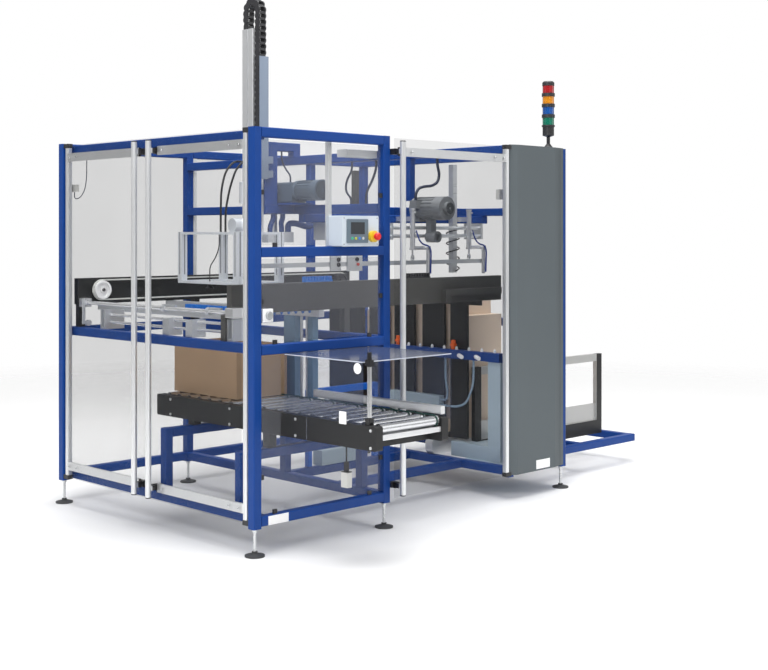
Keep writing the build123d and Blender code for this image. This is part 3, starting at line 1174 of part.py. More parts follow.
save("operator_upright", [
    rounded(Axis.Z, upright_x, upright_y, upright_z, MAST_ROUND),
    rounded(Axis.Z, rear_upright_x, after(REAR_BEAM_FRONT, CONDUIT), rear_upright_z, MAST_ROUND),
    rounded(Axis.X, shelf_x, after(HALF + WHEEL_GAP, 2 * CROSS_PROFILE), after(HEAD_BEAM_BASE + MAST_FOOT, CROSS_PROFILE), MAST_ROUND),
])

# Magazine frame, side guides, slim belt conveyors and the black plates at its front
mag_start = END_FACE
cross_y = (MAGAZINE_NEAR + TUBE, MAGAZINE_FAR)
save("magazine_frame", [fused([
    beam_x(mag_start, MAGAZINE_END, MAGAZINE_NEAR, BOTTOM_BEAM_BASE),
    beam_x(mag_start, MAGAZINE_END, MAGAZINE_FAR, BOTTOM_BEAM_BASE),
    beam_y(cross_y[0] - TUBE_ROUND, cross_y[1] + TUBE_ROUND, MAGAZINE_END - TUBE, BOTTOM_BEAM_BASE),
    beam_y(cross_y[0] - TUBE_ROUND, cross_y[1] + TUBE_ROUND, MAGAZINE_CROSS_X, BOTTOM_BEAM_BASE),
])])
guides = []
for y in (GUIDE_NEAR, GUIDE_FAR):
    depth = around(y, GUIDE_THICK)
    guide_x = (GUIDE_START, GUIDE_END)
    bar_z = (GUIDE_BAR_TOP - GUIDE_BAR_DEEP, GUIDE_BAR_TOP)
    uprights_z = (FLOOR_BEAM_TOP, GUIDE_BAR_TOP)
    guides.append(fused([
        block(guide_x, depth, (FLOOR_BEAM_TOP, GUIDE_LOW_TOP)),
        block((GUIDE_END - GUIDE_UPRIGHT, GUIDE_END), depth, uprights_z),
        block(guide_x, around(y, 4), (GUIDE_LOW_TOP, GUIDE_PLATE_TOP)),
        block(guide_x, depth, bar_z),
        block(after(GUIDE_START, GUIDE_UPRIGHT), depth, uprights_z),
    ]))
save("magazine_guides", guides)
BELT_RAIL_X = (POST_X[2] - HALF, BELT_RAIL_END)
save("magazine_belts", [
    rounded(Axis.Y, BELT_RAIL_X, after(y, BELT_RAIL_WIDTH), (FLOOR_BEAM_TOP, BLANK_BASE), BELT_RAIL_ROUND)
    for y in BELT_RAIL_Y
])
plates_x = after(FRONT_PLATE_X, FRONT_PLATE)
plates = [block(plates_x, y, (BLANK_BASE, FEED_BEAM_BASE)) for y in FRONT_PLATE_Y]
plate_span = (FRONT_PLATE_Y[0][0], FRONT_PLATE_Y[-1][1])
plates.append(block(plates_x, plate_span, (BLANK_BASE, BLANK_BASE + PLATE_FOOT)))
plates.append(block(plates_x, (NEAR_BEAM_FRONT, FAR_BEAM_FRONT), (FEED_BEAM_BASE - PLATE_FOOT, FEED_BEAM_BASE)))
save("magazine_front", [fused(plates)])

# Pale blue valve box by the magazine, its column, two manifold bars and a duct on the floor beam
VALVE_LEFT = FRONT_PLATE_X - VALVE_SETBACK
valve_z = after(FLOOR_BEAM_TOP, VALVE_HEIGHT)
manifold_x = (FRONT_PLATE_X - MANIFOLD_BAR, FRONT_PLATE_X)
valve_box = fused([
    rounded(Axis.Z, (VALVE_LEFT, GUIDE_START - WHEEL_GAP), (VALVE_NEAR, VALVE_FAR), valve_z, TUBE_ROUND),
    block((GUIDE_START - WHEEL_GAP - TUBE_ROUND, VALVE_RIGHT), (VALVE_BODY, VALVE_BODY_FAR), valve_z),
    block((POST_X[2] + HALF, POST_X[3] - HALF), (VALVE_BODY + WHEEL_GAP, VALVE_BODY_FAR), (BOTTOM_BEAM_BASE + 20, FLOOR_BEAM_TOP)),
    block((VALVE_LEFT + WHEEL_GAP, GUIDE_START - WHEEL_GAP), after(VALVE_NEAR, COLUMN_DEPTH), (valve_z[1], MANIFOLD_BASE)),
    block(manifold_x, (VALVE_NEAR + WHEEL_GAP, MANIFOLD_FAR), after(MANIFOLD_BASE, MANIFOLD_HEIGHT)),
])
low_manifold = rounded(Axis.Y, manifold_x, (FRONT_PLATE_Y[1][0], MANIFOLD_FAR), after(LOW_MANIFOLD_BASE, 80), MAST_ROUND)
duct = rounded(Axis.X, (1160, 1470), after(LOW_FAR, 80), valve_z, TUBE_ROUND)
save("pneumatic_box", [valve_box, low_manifold, duct])

# Stack of flat blanks with notched corners, and the tray on the rollers
blank_near = GUIDE_NEAR + GUIDE_THICK / 2 + BLANK_SIDE_GAP
blank_far = GUIDE_FAR - GUIDE_THICK / 2 - BLANK_SIDE_GAP
stack = block((BLANK_FRONT, BLANK_BACK), (blank_near, blank_far), (BLANK_BASE, BLANK_TOP))
for y in (blank_near, blank_far - BLANK_NOTCH):
    stack -= block((BLANK_FRONT, BLANK_BACK), after(y, BLANK_NOTCH), (BLANK_TOP - BLANK_NOTCH, BLANK_TOP))
save("tray_blanks", [stack])
tray = block((TRAY_LEFT, TRAY_RIGHT), (TRAY_FRONT, TRAY_BACK), (ROLLER_TOP, TRAY_TOP))
tray -= block(
    (TRAY_LEFT + TRAY_WALL, TRAY_RIGHT - TRAY_WALL),
    (TRAY_FRONT + TRAY_WALL, TRAY_BACK - TRAY_WALL),
    (ROLLER_TOP + TRAY_WALL, TRAY_TOP),
)
save("formed_tray", [tray])


# Hoses, each from a named fitting to another, as straight runs joined by large arcs
def hose(points, diameter):
    route = [Vector(*point) for point in points]
    radii = []
    for before, corner, beyond in zip(route, route[1:], route[2:]):
        turn = (corner - before).get_angle(beyond - corner)
        run = min((corner - before).length, (beyond - corner).length)
        radii.append(0.45 * run / tan(radians(turn / 2)))
    path = FilletPolyline(*route, radius=radii)
    section = Plane(origin=path @ 0, z_dir=path % 0) * Circle(diameter / 2)
    tube = sweep(section, path=path)
    print("hose", round(path.length), "radii", [round(r) for r in radii], round(tube.volume))
    return tube


blower_hose = hose([
    (1925, 565, 2070), (1925, 565, 2020), (1942, 562, 1966), (1926, 561, 1912), (1870, 561, 1888),
    (1806, 561, 1884), (1752, 561, 1872), (1725, 561, 1836), (1725, 561, 1795),
], 18)
gear_hose = hose([
    (800, 745, 2065), (800, 745, 2010), (812, 720, 1960), (820, 690, 1925), (820, 690, 1885),
], 10)
drop_hoses = [
    hose([
        (1060, 745, 1705), (1060, 745, 1655), (1000, 745, 1628), (905, 745, 1652), (848, 745, 1648), (848, 745, 1600),
    ], 36),
    hose([(808, 745, 1705), (808, 745, 1680), (796, 747, 1652), (800, 745, 1625), (800, 745, 1600)], 30),
    hose([(738, 745, 1705), (738, 745, 1675), (726, 748, 1650), (714, 745, 1628), (714, 745, 1600)], 30),
]
loop_hoses = [
    hose([
        (895, 252, 1990), (895, 252, 1945), (895, 300, 1880), (895, 303, 1825), (895, 260, 1788), (895, 260, 1755),
    ], 12),
    hose([
        (895, 60, 1990), (895, 60, 1945), (895, 90, 1880), (895, 138, 1820), (895, 138, 1755),
    ], 14),
]
switch_cable = hose([
    (50, 1620, 2060), (50, 1620, 1920), (46, 1634, 1845), (40, 1676, 1800), (34, 1728, 1794), (34, 1728, 1837),
], 5)
manifold_hoses = [
    hose([(2005, 568, 805), (2005, 568, 660), (2005, 548, 590), (2005, 560, 535), (2005, 605, 535)], 14),
    hose([
        (2005, 332, 805), (2005, 332, 650), (2005, 392, 530), (2005, 470, 500), (2005, 605, 500),
    ], 14),
]
save("hoses", [blower_hose, gear_hose, switch_cable] + drop_hoses + loop_hoses + manifold_hoses)
save("lift_hoses", [
    hose([
        (575, 745, 2000), (520, 745, 2000), (470, 750, 1950), (440, 765, 1850), (424, 785, 1720), (424, 785, 1600),
    ], 12),
    hose([
        (575, 810, 2000), (500, 810, 2000), (445, 812, 1940), (410, 805, 1840), (400, 797, 1720), (400, 797, 1600),
    ], 12),
    hose([(320, 791, 1326), (320, 791, 1410), (355, 791, 1450), (385, 791, 1510), (385, 791, 1586)], 6),
])
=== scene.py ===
from math import cos, pi, sin

import bmesh
import bpy
from mathutils import Matrix, Vector


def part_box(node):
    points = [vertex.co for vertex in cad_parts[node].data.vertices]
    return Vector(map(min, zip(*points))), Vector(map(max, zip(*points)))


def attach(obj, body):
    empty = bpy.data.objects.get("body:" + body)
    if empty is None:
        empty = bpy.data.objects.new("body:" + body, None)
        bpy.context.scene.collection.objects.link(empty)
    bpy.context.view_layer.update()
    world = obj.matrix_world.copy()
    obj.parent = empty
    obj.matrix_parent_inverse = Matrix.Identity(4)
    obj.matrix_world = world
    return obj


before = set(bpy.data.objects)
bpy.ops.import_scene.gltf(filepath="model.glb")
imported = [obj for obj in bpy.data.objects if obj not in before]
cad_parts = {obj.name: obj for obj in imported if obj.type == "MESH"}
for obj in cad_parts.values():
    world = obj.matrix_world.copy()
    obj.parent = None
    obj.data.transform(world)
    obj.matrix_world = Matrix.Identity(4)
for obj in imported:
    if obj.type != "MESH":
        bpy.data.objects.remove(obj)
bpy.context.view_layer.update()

# Posts and beams: square steel tube, cut, welded and powder coated deep blue.
# The low frame under the conveyor is the same stock. Its guide rail, on two legs, is a brighter blue.


class Wire:
    """What leaves a node's socket, so that a finish is written as sums of patterns."""

    def __init__(self, tree, socket):
        self.tree = tree
        self.socket = socket

    def maths(self, operation, *terms):
        node = self.tree.nodes.new("ShaderNodeMath")
        node.operation = operation
        for slot, term in zip(node.inputs, terms):
            if isinstance(term, Wire):
                self.tree.links.new(term.socket, slot)
            else:
                slot.default_value = term
        return Wire(self.tree, node.outputs[0])

    def __add__(self, other):
        return self.maths("ADD", self, other)

    def __sub__(self, other):
        return self.maths("SUBTRACT", self, other)

    def __rsub__(self, other):
        return self.maths("SUBTRACT", other, self)

    def __mul__(self, other):
        return self.maths("MULTIPLY", self, other)

    def __truediv__(self, other):
        return self.maths("DIVIDE", self, other)

    def __pow__(self, other):
        return self.maths("POWER", self, other)

    def __gt__(self, other):
        return self.maths("GREATER_THAN", self, other)

    def __lt__(self, other):
        return self.maths("LESS_THAN", self, other)

    __radd__ = __add__
    __rmul__ = __mul__

    def near(self, middle, reach):
        """1 where the value lies within reach of a middle, else 0."""
        offset = self - middle
        return offset.maths("ABSOLUTE", offset) < reach

    def sine(self):
        return self.maths("SINE", self)


class Finish:
    """A material with its shader, its place on the piece and one method for every other node."""

    def __init__(self, name, colour, roughness, **fixed):
        self.material = bpy.data.materials.new(name)
        self.material.use_nodes = True
        self.tree = self.material.node_tree
        self.shader = self.tree.nodes["Principled BSDF"]
        self.base = (*colour, 1)
        self.place = self.node("TexCoord", out="Object")
        self.shade("Base Color", self.base)
        self.shade("Roughness", roughness)
        for socket, value in fixed.items():
            self.shade(socket.replace("_", " ").title().replace("Ior", "IOR"), value)

    def node(self, kind, settings=None, sockets=None, out=0):
        made = self.tree.nodes.new("ShaderNode" + kind)
        for setting, value in (settings or {}).items():
            setattr(made, setting, value)
        for key, value in (sockets or {}).items():
            self.plug(made.inputs[key], value)
        return Wire(self.tree, made.outputs[out])

    def plug(self, socket, value):
        if isinstance(value, Wire):
            self.tree.links.new(value.socket, socket)
        else:
            socket.default_value = value

    def shade(self, socket, value):
        self.plug(self.shader.inputs[socket], value)

    def axes(self):
        split = self.tree.nodes.new("ShaderNodeSeparateXYZ")
        self.plug(split.inputs[0], self.place)
        return [Wire(self.tree, out) for out in split.outputs]

    def noise(self, scale, stretch=(1, 1, 1), detail=3):
        spread = self.node("Mapping", {}, {"Vector": self.place, "Scale": stretch})
        return self.node("TexNoise", {}, {"Vector": spread, "Scale": scale, "Detail": detail})

    def mix(self, share, first, second):
        return self.node("Mix", {"data_type": "RGBA"}, {0: share, 6: first, 7: second}, out=2)

    def bump(self, height, depth):
        self.shade("Normal", self.node("Bump", {}, {"Height": height, "Distance": depth, "Strength": 1}))

    def recolour(self, *changes):
        """Lay one colour after another over the base, each where its share is 1."""
        tone = self.base
        for share, colour in changes:
            tone = self.mix(share, tone, (*colour, 1))
        self.shade("Base Color", tone)

    def fade(self, value, near, far, full=1):
        """Falls from full to 0 while the value grows from near to far."""
        return self.node("MapRange", {}, {0: value, 1: near, 2: far, 3: full, 4: 0})


def dress(finish, *nodes):
    for node in nodes:
        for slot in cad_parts[node].material_slots:
            slot.material = finish.material


FLECK = 700
COAT_GRAIN = 0.00006
LOW_SHINE = 0.25


def powder_coat(name, colour, roughness=0.42, grain=COAT_GRAIN, **fixed):
    """Baked powder: slight drift of tone, a fine orange peel and dust that dulls it in places."""
    coat = Finish(name, colour, roughness, **fixed)
    drift = coat.noise(2.3)
    peel = coat.noise(FLECK)
    dust = coat.noise(9, (1, 1, 0.25), 8)
    light = tuple(min(1, 1.3 * part + 0.006) for part in colour) + (1,)
    coat.shade("Base Color", coat.mix(drift * 0.5 + (dust - 0.5) * 0.25, coat.base, light))
    coat.shade("Roughness", roughness + (drift - 0.5) * 0.12 + (dust - 0.5) * 0.1)
    coat.bump(peel, grain)
    return coat


FRAME_BLUE = (0.002, 0.043, 0.225)
RAIL_BLUE = (0.006, 0.13, 0.60)
RAIL_START = 1.05
RAIL_BASE = 0.2
frame_coat = powder_coat("frame_coat", FRAME_BLUE, specular_ior_level=LOW_SHINE)
dress(frame_coat, "frame_posts", "long_beams", "cross_beams", "magazine_frame", "lift_bridge")
low_coat = powder_coat("low_coat", FRAME_BLUE, specular_ior_level=LOW_SHINE)
low_x, _, low_z = low_coat.axes()
low_coat.recolour(((low_x > RAIL_START) * (low_z > RAIL_BASE), RAIL_BLUE))
dress(low_coat, "low_frame")

# Levelling feet: a black nylon pad with a zinc plated stem and lock nut.
# Each stem is turned into a weld nut under its post.
GRIND = 260
PAD_LEVEL = 0.0265
PAD_BLACK = (0.05, 0.052, 0.055)


def ground_steel(name, colour, along, roughness=0.3, depth=0.00002):
    """Bare or plated steel with grinding marks along one axis."""
    steel = Finish(name, colour, roughness, metallic=1)
    marks = steel.noise(GRIND, tuple(0.03 if axis == along else 1 for axis in "XYZ"), 2)
    clouds = steel.noise(6)
    dull = tuple(0.72 * part for part in colour) + (1,)
    steel.shade("Base Color", steel.mix(clouds * 0.5 + marks * 0.25, steel.base, dull))
    steel.shade("Roughness", roughness + (marks - 0.5) * 0.25 + (clouds - 0.5) * 0.1)
    steel.bump(marks, depth)
    return steel


foot_metal = ground_steel("foot_metal", (0.62, 0.63, 0.64), "Z")
pad_share = foot_metal.axes()[2] < PAD_LEVEL
foot_metal.recolour((pad_share, PAD_BLACK))
foot_metal.shade("Metallic", 1 - pad_share)
foot_metal.shade("Roughness", 0.28 + pad_share * 0.3 + (foot_metal.noise(40) - 0.5) * 0.1)
dress(foot_metal, "levelling_feet")

# Clear guards: 5 mm polycarbonate in the window bay, the doors, the rear and the end.
# Handling leaves a little haze and dust on it. Small black clips hold it to the tube beside it.
# The window bay's sheet is tinted a paler grey than the other guards: a painted reflection that greys what
# lies behind it.
WINDOW_REFLECTION_TINT = (0.30, 0.31, 0.35)
WINDOW_ALPHA = 0.12
GUARD_TINT = (0.03, 0.032, 0.035)
GUARD_ALPHA = 0.10


def clear_sheet(name, tint, alpha):
    sheet = Finish(name, tint, 0.08, specular_ior_level=LOW_SHINE)
    haze = sheet.noise(1.7, (1, 1, 0.6))
    dust = sheet.noise(160)
    sheet.shade("Alpha", alpha + (haze - 0.5) * 0.05 + (dust > 0.72) * 0.03)
    sheet.shade("Roughness", 0.06 + haze * 0.08)
    return sheet


def moulded(name, colour, roughness=0.45, speckle=380, depth=0.00005):
    """Moulded plastic with a fine spark texture and faint flow marks."""
    plastic = Finish(name, colour, roughness)
    flow = plastic.noise(7)
    spark = plastic.noise(speckle)
    pale = tuple(min(1, 1.12 * part + 0.01) for part in colour) + (1,)
    plastic.shade("Base Color", plastic.mix(flow * 0.6, plastic.base, pale))
    plastic.shade("Roughness", roughness + (spark - 0.5) * 0.15)
    plastic.bump(spark, depth)
    return plastic


window_reflection_clear = clear_sheet("window_reflection_clear", WINDOW_REFLECTION_TINT, WINDOW_ALPHA)
dress(window_reflection_clear, "front_windows")
guard_clear = clear_sheet("guard_clear", GUARD_TINT, GUARD_ALPHA)
dress(guard_clear, "guard_sheets", "near_door_sheet", "far_door_sheet", "front_door_sheet")
black_moulding = moulded("black_moulding", (0.018, 0.018, 0.02))
dress(black_moulding, "window_clips")

# Plate and knob box: a bare white plate on the face of the bottom beam,
# and a white moulded box with a grey turning knob on the window's sheet.
TO_FRONT = (0, -1, 0)
TO_LEFT = (-1, 0, 0)
UP = (0, 0, 1)
DOWN = (0, 0, -1)
PLATE_PROUD = 0.0012
PLATE_EDGE = 0.0004
KNOB_BOX_DEEP = 0.020
KNOB_BOX_EDGE = 0.003


def piece_from(mesh, name, finish, body=None):
    data = bpy.data.meshes.new(name)
    bmesh.ops.recalc_face_normals(mesh, faces=mesh.faces)
    mesh.to_mesh(data)
    mesh.free()
    return show(data, name, finish, body)


def show(data, name, finish, body):
    made = bpy.data.objects.new(name, data)
    made.data.materials.append(finish.material)
    bpy.context.collection.objects.link(made)
    if body:
        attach(made, body)
    return made


def add_block(mesh, low, high, edge):
    """Block between two corners, with rounded edges."""
    middle = (Vector(low) + Vector(high)) / 2
    size = Vector(high) - Vector(low)
    cube = bmesh.ops.create_cube(mesh, size=1, matrix=Matrix.LocRotScale(middle, None, size))
    rim = {side for vert in cube["verts"] for side in vert.link_edges}
    bmesh.ops.bevel(mesh, geom=list(rim), offset=edge, segments=2, profile=0.5, affect="EDGES", material=-1)


def add_lathed(mesh, outline, at, axis, steps=20):
    """Turned form from (radius, height) points, with its base at a place and its top along an axis."""
    before = set(mesh.verts)
    rim = [mesh.verts.new((radius, 0, height)) for radius, height in outline]
    sides = [mesh.edges.new(pair) for pair in zip(rim, rim[1:])]
    bmesh.ops.spin(
        mesh, geom=rim + sides, cent=(0, 0, 0), axis=(0, 0, 1), angle=2 * pi, steps=steps, use_merge=True,
    )
    bmesh.ops.remove_doubles(mesh, verts=[vert for vert in mesh.verts if vert not in before], dist=1e-6)
    turn = Vector((0, 0, 1)).rotation_difference(Vector(axis)).to_matrix().to_4x4()
    fresh = [vert for vert in mesh.verts if vert not in before]
    bmesh.ops.transform(mesh, matrix=Matrix.Translation(at) @ turn, verts=fresh)


def blocks(name, finish, corners, edge):
    """Piece of rounded blocks, each between two corners."""
    mesh = bmesh.new()
    for low, high in corners:
        add_block(mesh, low, high, edge)
    return piece_from(mesh, name, finish, "machine_frame")


def row(name, finish, outline, places, axis, steps=20, body="machine_frame"):
    """Piece of one turned form, repeated at several places."""
    mesh = bmesh.new()
    for at in places:
        add_lathed(mesh, outline, at, axis, steps)
    return piece_from(mesh, name, finish, body)


white_moulding = moulded("white_moulding", (0.88, 0.88, 0.88), 0.4)
knob_grey = moulded("knob_grey", (0.35, 0.36, 0.37), 0.35)
beam_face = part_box("frame_posts")[0][1]
plate = ((0.066, beam_face - PLATE_PROUD, 0.147), (0.197, beam_face, 0.192))
blocks("beam_plate", white_moulding, [plate], PLATE_EDGE)
window_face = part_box("front_windows")[0][1]
knob_box = ((0.034, window_face - KNOB_BOX_DEEP, 1.153), (0.098, window_face, 1.219))
blocks("knob_box", white_moulding, [knob_box], KNOB_BOX_EDGE)
knob = [(0, 0.008), (0.012, 0.008), (0.013, 0.011), (0.018, 0.011), (0.021, 0.008), (0.022, 0)]
knob_at = (0.070, window_face - KNOB_BOX_DEEP, 1.186)
row("knob", knob_grey, knob, [knob_at], TO_FRONT)

# Doors: an extruded aluminium stile with two arms, a full height grab tube, and the sheet between.
# They turn on steel pins in two bearing blocks on the post. Black catches sit behind the tube.
EXTRUSION = (0.80, 0.81, 0.82)
DOOR_ALLOY = (0.76, 0.77, 0.78)
BLACK_NYLON = (0.02, 0.02, 0.022)
GRIP_CAP = 0.006
GRIP_BASE = 0.180
GRIP_TOP = 2.088
GRIP_RADIUS = 0.016
HINGE_X = -0.004
END_HINGE_Y = 0.057
FRONT_HINGE = (1.883, -0.031)
GRIP_OUT = 0.059
END_GRIP_IN = 0.7685
FRONT_GRIP_IN = 0.932
SHEET_OUT = 0.021
CATCH_HALF = 0.021
ARM_LEVELS = (0.228, 2.037)
END_ARM_SCREWS = (0.040, 0.120, 0.700)
FRONT_ARM_SCREWS = (0.040, 0.120, 0.820)
HALF_POST = 0.025
rear_post_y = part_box("cross_beams")[1][1] + HALF_POST
far_hinge_y = rear_post_y - END_HINGE_Y
grips = {
    "near_door": (HINGE_X - GRIP_OUT, END_HINGE_Y + END_GRIP_IN),
    "far_door": (HINGE_X - GRIP_OUT, far_hinge_y - END_GRIP_IN),
    "front_door": (FRONT_HINGE[0] - FRONT_GRIP_IN, FRONT_HINGE[1] - GRIP_OUT),
}


def extruded(name, along, colour=EXTRUSION, roughness=0.34):
    """Natural anodised aluminium with die lines along the bar."""
    bar = Finish(name, colour, roughness, metallic=0.7)
    lines = bar.noise(420, tuple(0.004 if axis == along else 1 for axis in "XYZ"), 2)
    clouds = bar.noise(3)
    grey = tuple(0.8 * part for part in colour) + (1,)
    bar.shade("Base Color", bar.mix(lines * 0.35 + clouds * 0.25, bar.base, grey))
    bar.shade("Roughness", roughness + (lines - 0.5) * 0.14)
    bar.bump(lines, 0.00003)
    return bar


def screw_outline(radius, height):
    """Socket head with a rounded rim and a recess for the key."""
    return [
        (0, 0.45 * height), (0.48 * radius, 0.45 * height), (0.55 * radius, height),
        (0.88 * radius, height), (radius, 0.82 * height), (radius, 0),
    ]


def screws(name, finish, places, axis, body="machine_frame", radius=0.006, height=0.005):
    """Piece of socket head screws at several places."""
    return row(name, finish, screw_outline(radius, height), places, axis, 14, body)


dress(black_moulding, "door_pivots")
door_extrusion = extruded("door_extrusion", "Z", DOOR_ALLOY)
door_x, door_y, _ = door_extrusion.axes()
catches = []
for door, (x, y) in grips.items():
    across, inwards = (door_x, door_y - y) if door == "front_door" else (door_y, door_x - x)
    middle = x if door == "front_door" else y
    catches.append(across.near(middle, CATCH_HALF) * (inwards > GRIP_RADIUS))
is_catch = sum(catches)
door_extrusion.recolour((is_catch, BLACK_NYLON))
door_extrusion.shade("Metallic", 0.7 - is_catch * 0.7)
dress(door_extrusion, "near_door_rails", "far_door_rails", "front_door_rails")
cap = [(0, GRIP_CAP), (0.8 * GRIP_RADIUS, GRIP_CAP), (GRIP_RADIUS, 0.6 * GRIP_CAP), (GRIP_RADIUS, 0)]
for door, (x, y) in grips.items():
    caps = bmesh.new()
    add_lathed(caps, cap, (x, y, GRIP_TOP), UP)
    add_lathed(caps, cap, (x, y, GRIP_BASE), DOWN)
    piece_from(caps, door + "_caps", black_moulding, door)
screw_steel = ground_steel("screw_steel", (0.68, 0.69, 0.70), "Z", 0.25)
for door, hinge_y, way in (("near_door", END_HINGE_Y, 1), ("far_door", far_hinge_y, -1)):
    along = [hinge_y + way * reach for reach in END_ARM_SCREWS]
    places = [(HINGE_X - SHEET_OUT, y, z) for y in along for z in ARM_LEVELS]
    screws(door + "_screws", screw_steel, places, TO_LEFT, door)
along = [FRONT_HINGE[0] - reach for reach in FRONT_ARM_SCREWS]
places = [(x, FRONT_HINGE[1] - SHEET_OUT, ARM_LEVELS[1]) for x in along]
screws("front_door_screws", screw_steel, places, TO_FRONT, "front_door")

# Mast, conduits and switches: an extruded mast, white conduits up the posts and moulded switches.
# The sensor under the conveyor hangs on its own black cable.
CABLE_BASE_Z = 0.452
CABLE_BEFORE_Y = -0.1
dress(extruded("upright_extrusion", "Z"), "lift_mast")
dress(moulded("conduit_white", (0.62, 0.63, 0.62)), "operator_upright")
switch_grey = moulded("switch_grey", (0.5, 0.5, 0.48))
_, switch_y, switch_z = switch_grey.axes()
switch_grey.recolour(((switch_y < CABLE_BEFORE_Y) * (switch_z > CABLE_BASE_Z), BLACK_NYLON))
dress(switch_grey, "door_switches")

# Cabinet: an enamelled steel box behind a folded sheet cover with a fine textured grey coat.
# Two dark strips of painted shade mark the cover's folds, and a bare white plate sits near its foot.
LINE_PROUD = 0.0006
LINE_EDGE = 0.0002
FOLD_BASE = 0.150
FOLD_TOP_INSET = 0.004
FOLD_INSETS = ((0.062, 0.059), (0.010, 0.008))
dress(powder_coat("cover_coat", (0.084, 0.101, 0.110), 0.62, 0.0002), "cabinet_cover")
(_, cover_face, _), (cover_right, _, cover_top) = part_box("cabinet_cover")
plate = ((2.140, cover_face - PLATE_PROUD, 0.160), (2.272, cover_face, 0.214))
blocks("cover_plate", white_moulding, [plate], PLATE_EDGE)
fold_top = cover_top - FOLD_TOP_INSET
folds = [
    ((cover_right - left, cover_face - LINE_PROUD, FOLD_BASE), (cover_right - right, cover_face, fold_top))
    for left, right in FOLD_INSETS
]
# The fold strips are painted shade, dark where the cover turns away from the light.
fold_shade = powder_coat("fold_shade", (0.025, 0.03, 0.034), 0.6)
blocks("cover_fold_shade", fold_shade, folds, LINE_EDGE)
dress(powder_coat("enamel", (0.56, 0.62, 0.68), 0.3), "cabinet_body", "operator_box")

# Signal tower: a black nylon column with four lenses of tinted plastic.
# The lenses stand one on another between its black rings.
LENSES = {
    "green_lamp": (0.0, 0.20, 0.12),
    "blue_lamp": (0.004, 0.09, 0.38),
    "amber_lamp": (0.78, 0.28, 0.005),
    "red_lamp": (0.42, 0.008, 0.012),
}
dress(black_moulding, "signal_tower")
for lamp, colour in LENSES.items():
    lens = Finish(lamp + "_lens", colour, 0.12, coat_weight=0.4)
    glow = lens.noise(30, (1, 1, 0.2))
    deep = tuple(0.55 * part for part in colour) + (1,)
    lens.shade("Base Color", lens.mix(glow, lens.base, deep))
    dress(lens, lamp)

# Lift: the energy chain and its trough, and the plunger's frame of grooved aluminium profile.
# Four legs join its two plates under the mast's foot, and black cups hang from the lower plate.
LEG_MIDDLES_X = (0.318, 0.608)
LEG_MIDDLES_Y = (0.538, 1.044)
GROOVE_HALF = 0.004
GROOVE_BASE = 1.36
GROOVE_SHADE = 0.75
CUP_TOP = 1.3121
dress(moulded("chain_nylon", (0.022, 0.022, 0.025), 0.4), "energy_chain")
dress(extruded("trough_sheet", "Z", (0.30, 0.36, 0.46), 0.45), "chain_trough")
plunger_alloy = extruded("plunger_alloy", "Z", (0.86, 0.89, 0.93), 0.3)
along_x, along_y, along_z = plunger_alloy.axes()
# The profile's grooves above the cups are painted dark: painted shade in the slots.
in_groove = sum(along_x.near(middle, GROOVE_HALF) for middle in LEG_MIDDLES_X)
in_groove += sum(along_y.near(middle, GROOVE_HALF) for middle in LEG_MIDDLES_Y)
in_shadow = in_groove * (along_z > GROOVE_BASE) * GROOVE_SHADE
on_cup = along_z < CUP_TOP
plunger_alloy.recolour((in_shadow, (0.10, 0.11, 0.12)), (on_cup, BLACK_NYLON))
plunger_alloy.shade("Metallic", 0.35 - on_cup * 0.35)
dress(plunger_alloy, "plunger")

# Motors: the lift's gearmotor in grey blue and the blower in grey, cast with cooling ribs.
# A round black grill closes the fan end of each, with studs along its rim.
BLOWER_FROM = 1.3
FANS = (((0.820, 0.415, 1.836), 0.052), ((1.800, 0.341, 1.745), 0.036))
FAN_RINGS = (0.35, 0.6, 0.85)
RING_HALF = 0.003
RING_PROUD = 0.002
FAN_STUDS = 8
STUD_RING = 0.92
motor_coat = powder_coat("motor_coat", (0.085, 0.115, 0.15), 0.38, 0.00012)
motor_coat.recolour((motor_coat.axes()[0] > BLOWER_FROM, (0.17, 0.18, 0.19)))
dress(motor_coat, "drive_motors")
grill = bmesh.new()
for centre, outer in FANS:
    for share in FAN_RINGS:
        inside = outer * share - RING_HALF
        outside = outer * share + RING_HALF
        section = [(inside, 0), (inside, RING_PROUD), (outside, RING_PROUD), (outside, 0)]
        add_lathed(grill, section, centre, TO_FRONT, 28)
    for i in range(FAN_STUDS):
        angle = 2 * pi * i / FAN_STUDS
        tip = Vector((cos(angle), 0, sin(angle))) * outer * STUD_RING
        add_lathed(grill, screw_outline(0.003, 0.003), Vector(centre) + tip, TO_FRONT, 8)
grill_black = moulded("grill_black", (0.03, 0.035, 0.04), 0.5)
piece_from(grill, "fan_grills", grill_black, "machine_frame")

# Feed beams: black coated steel beams with belt wheels of white nylon and pale round belts.
# The wheels run on stub axles, and the far one at the right is black.
# Blue air fittings are pushed in along the near beam's underside.
BETWEEN_BEAMS_Y = 0.5
DRIVER_FROM = (0.5, 0.9)
WHEEL_AT = (0.188, 1.256)
WHEEL_DEEP = 0.044
FITTING_START = 0.40
FITTING_STEP = 0.05
FITTINGS = 7
FITTING_Y = 0.330
BEAM_BASE = 1.180
beam_coat = powder_coat("beam_coat", (0.010, 0.0105, 0.011), 0.5)
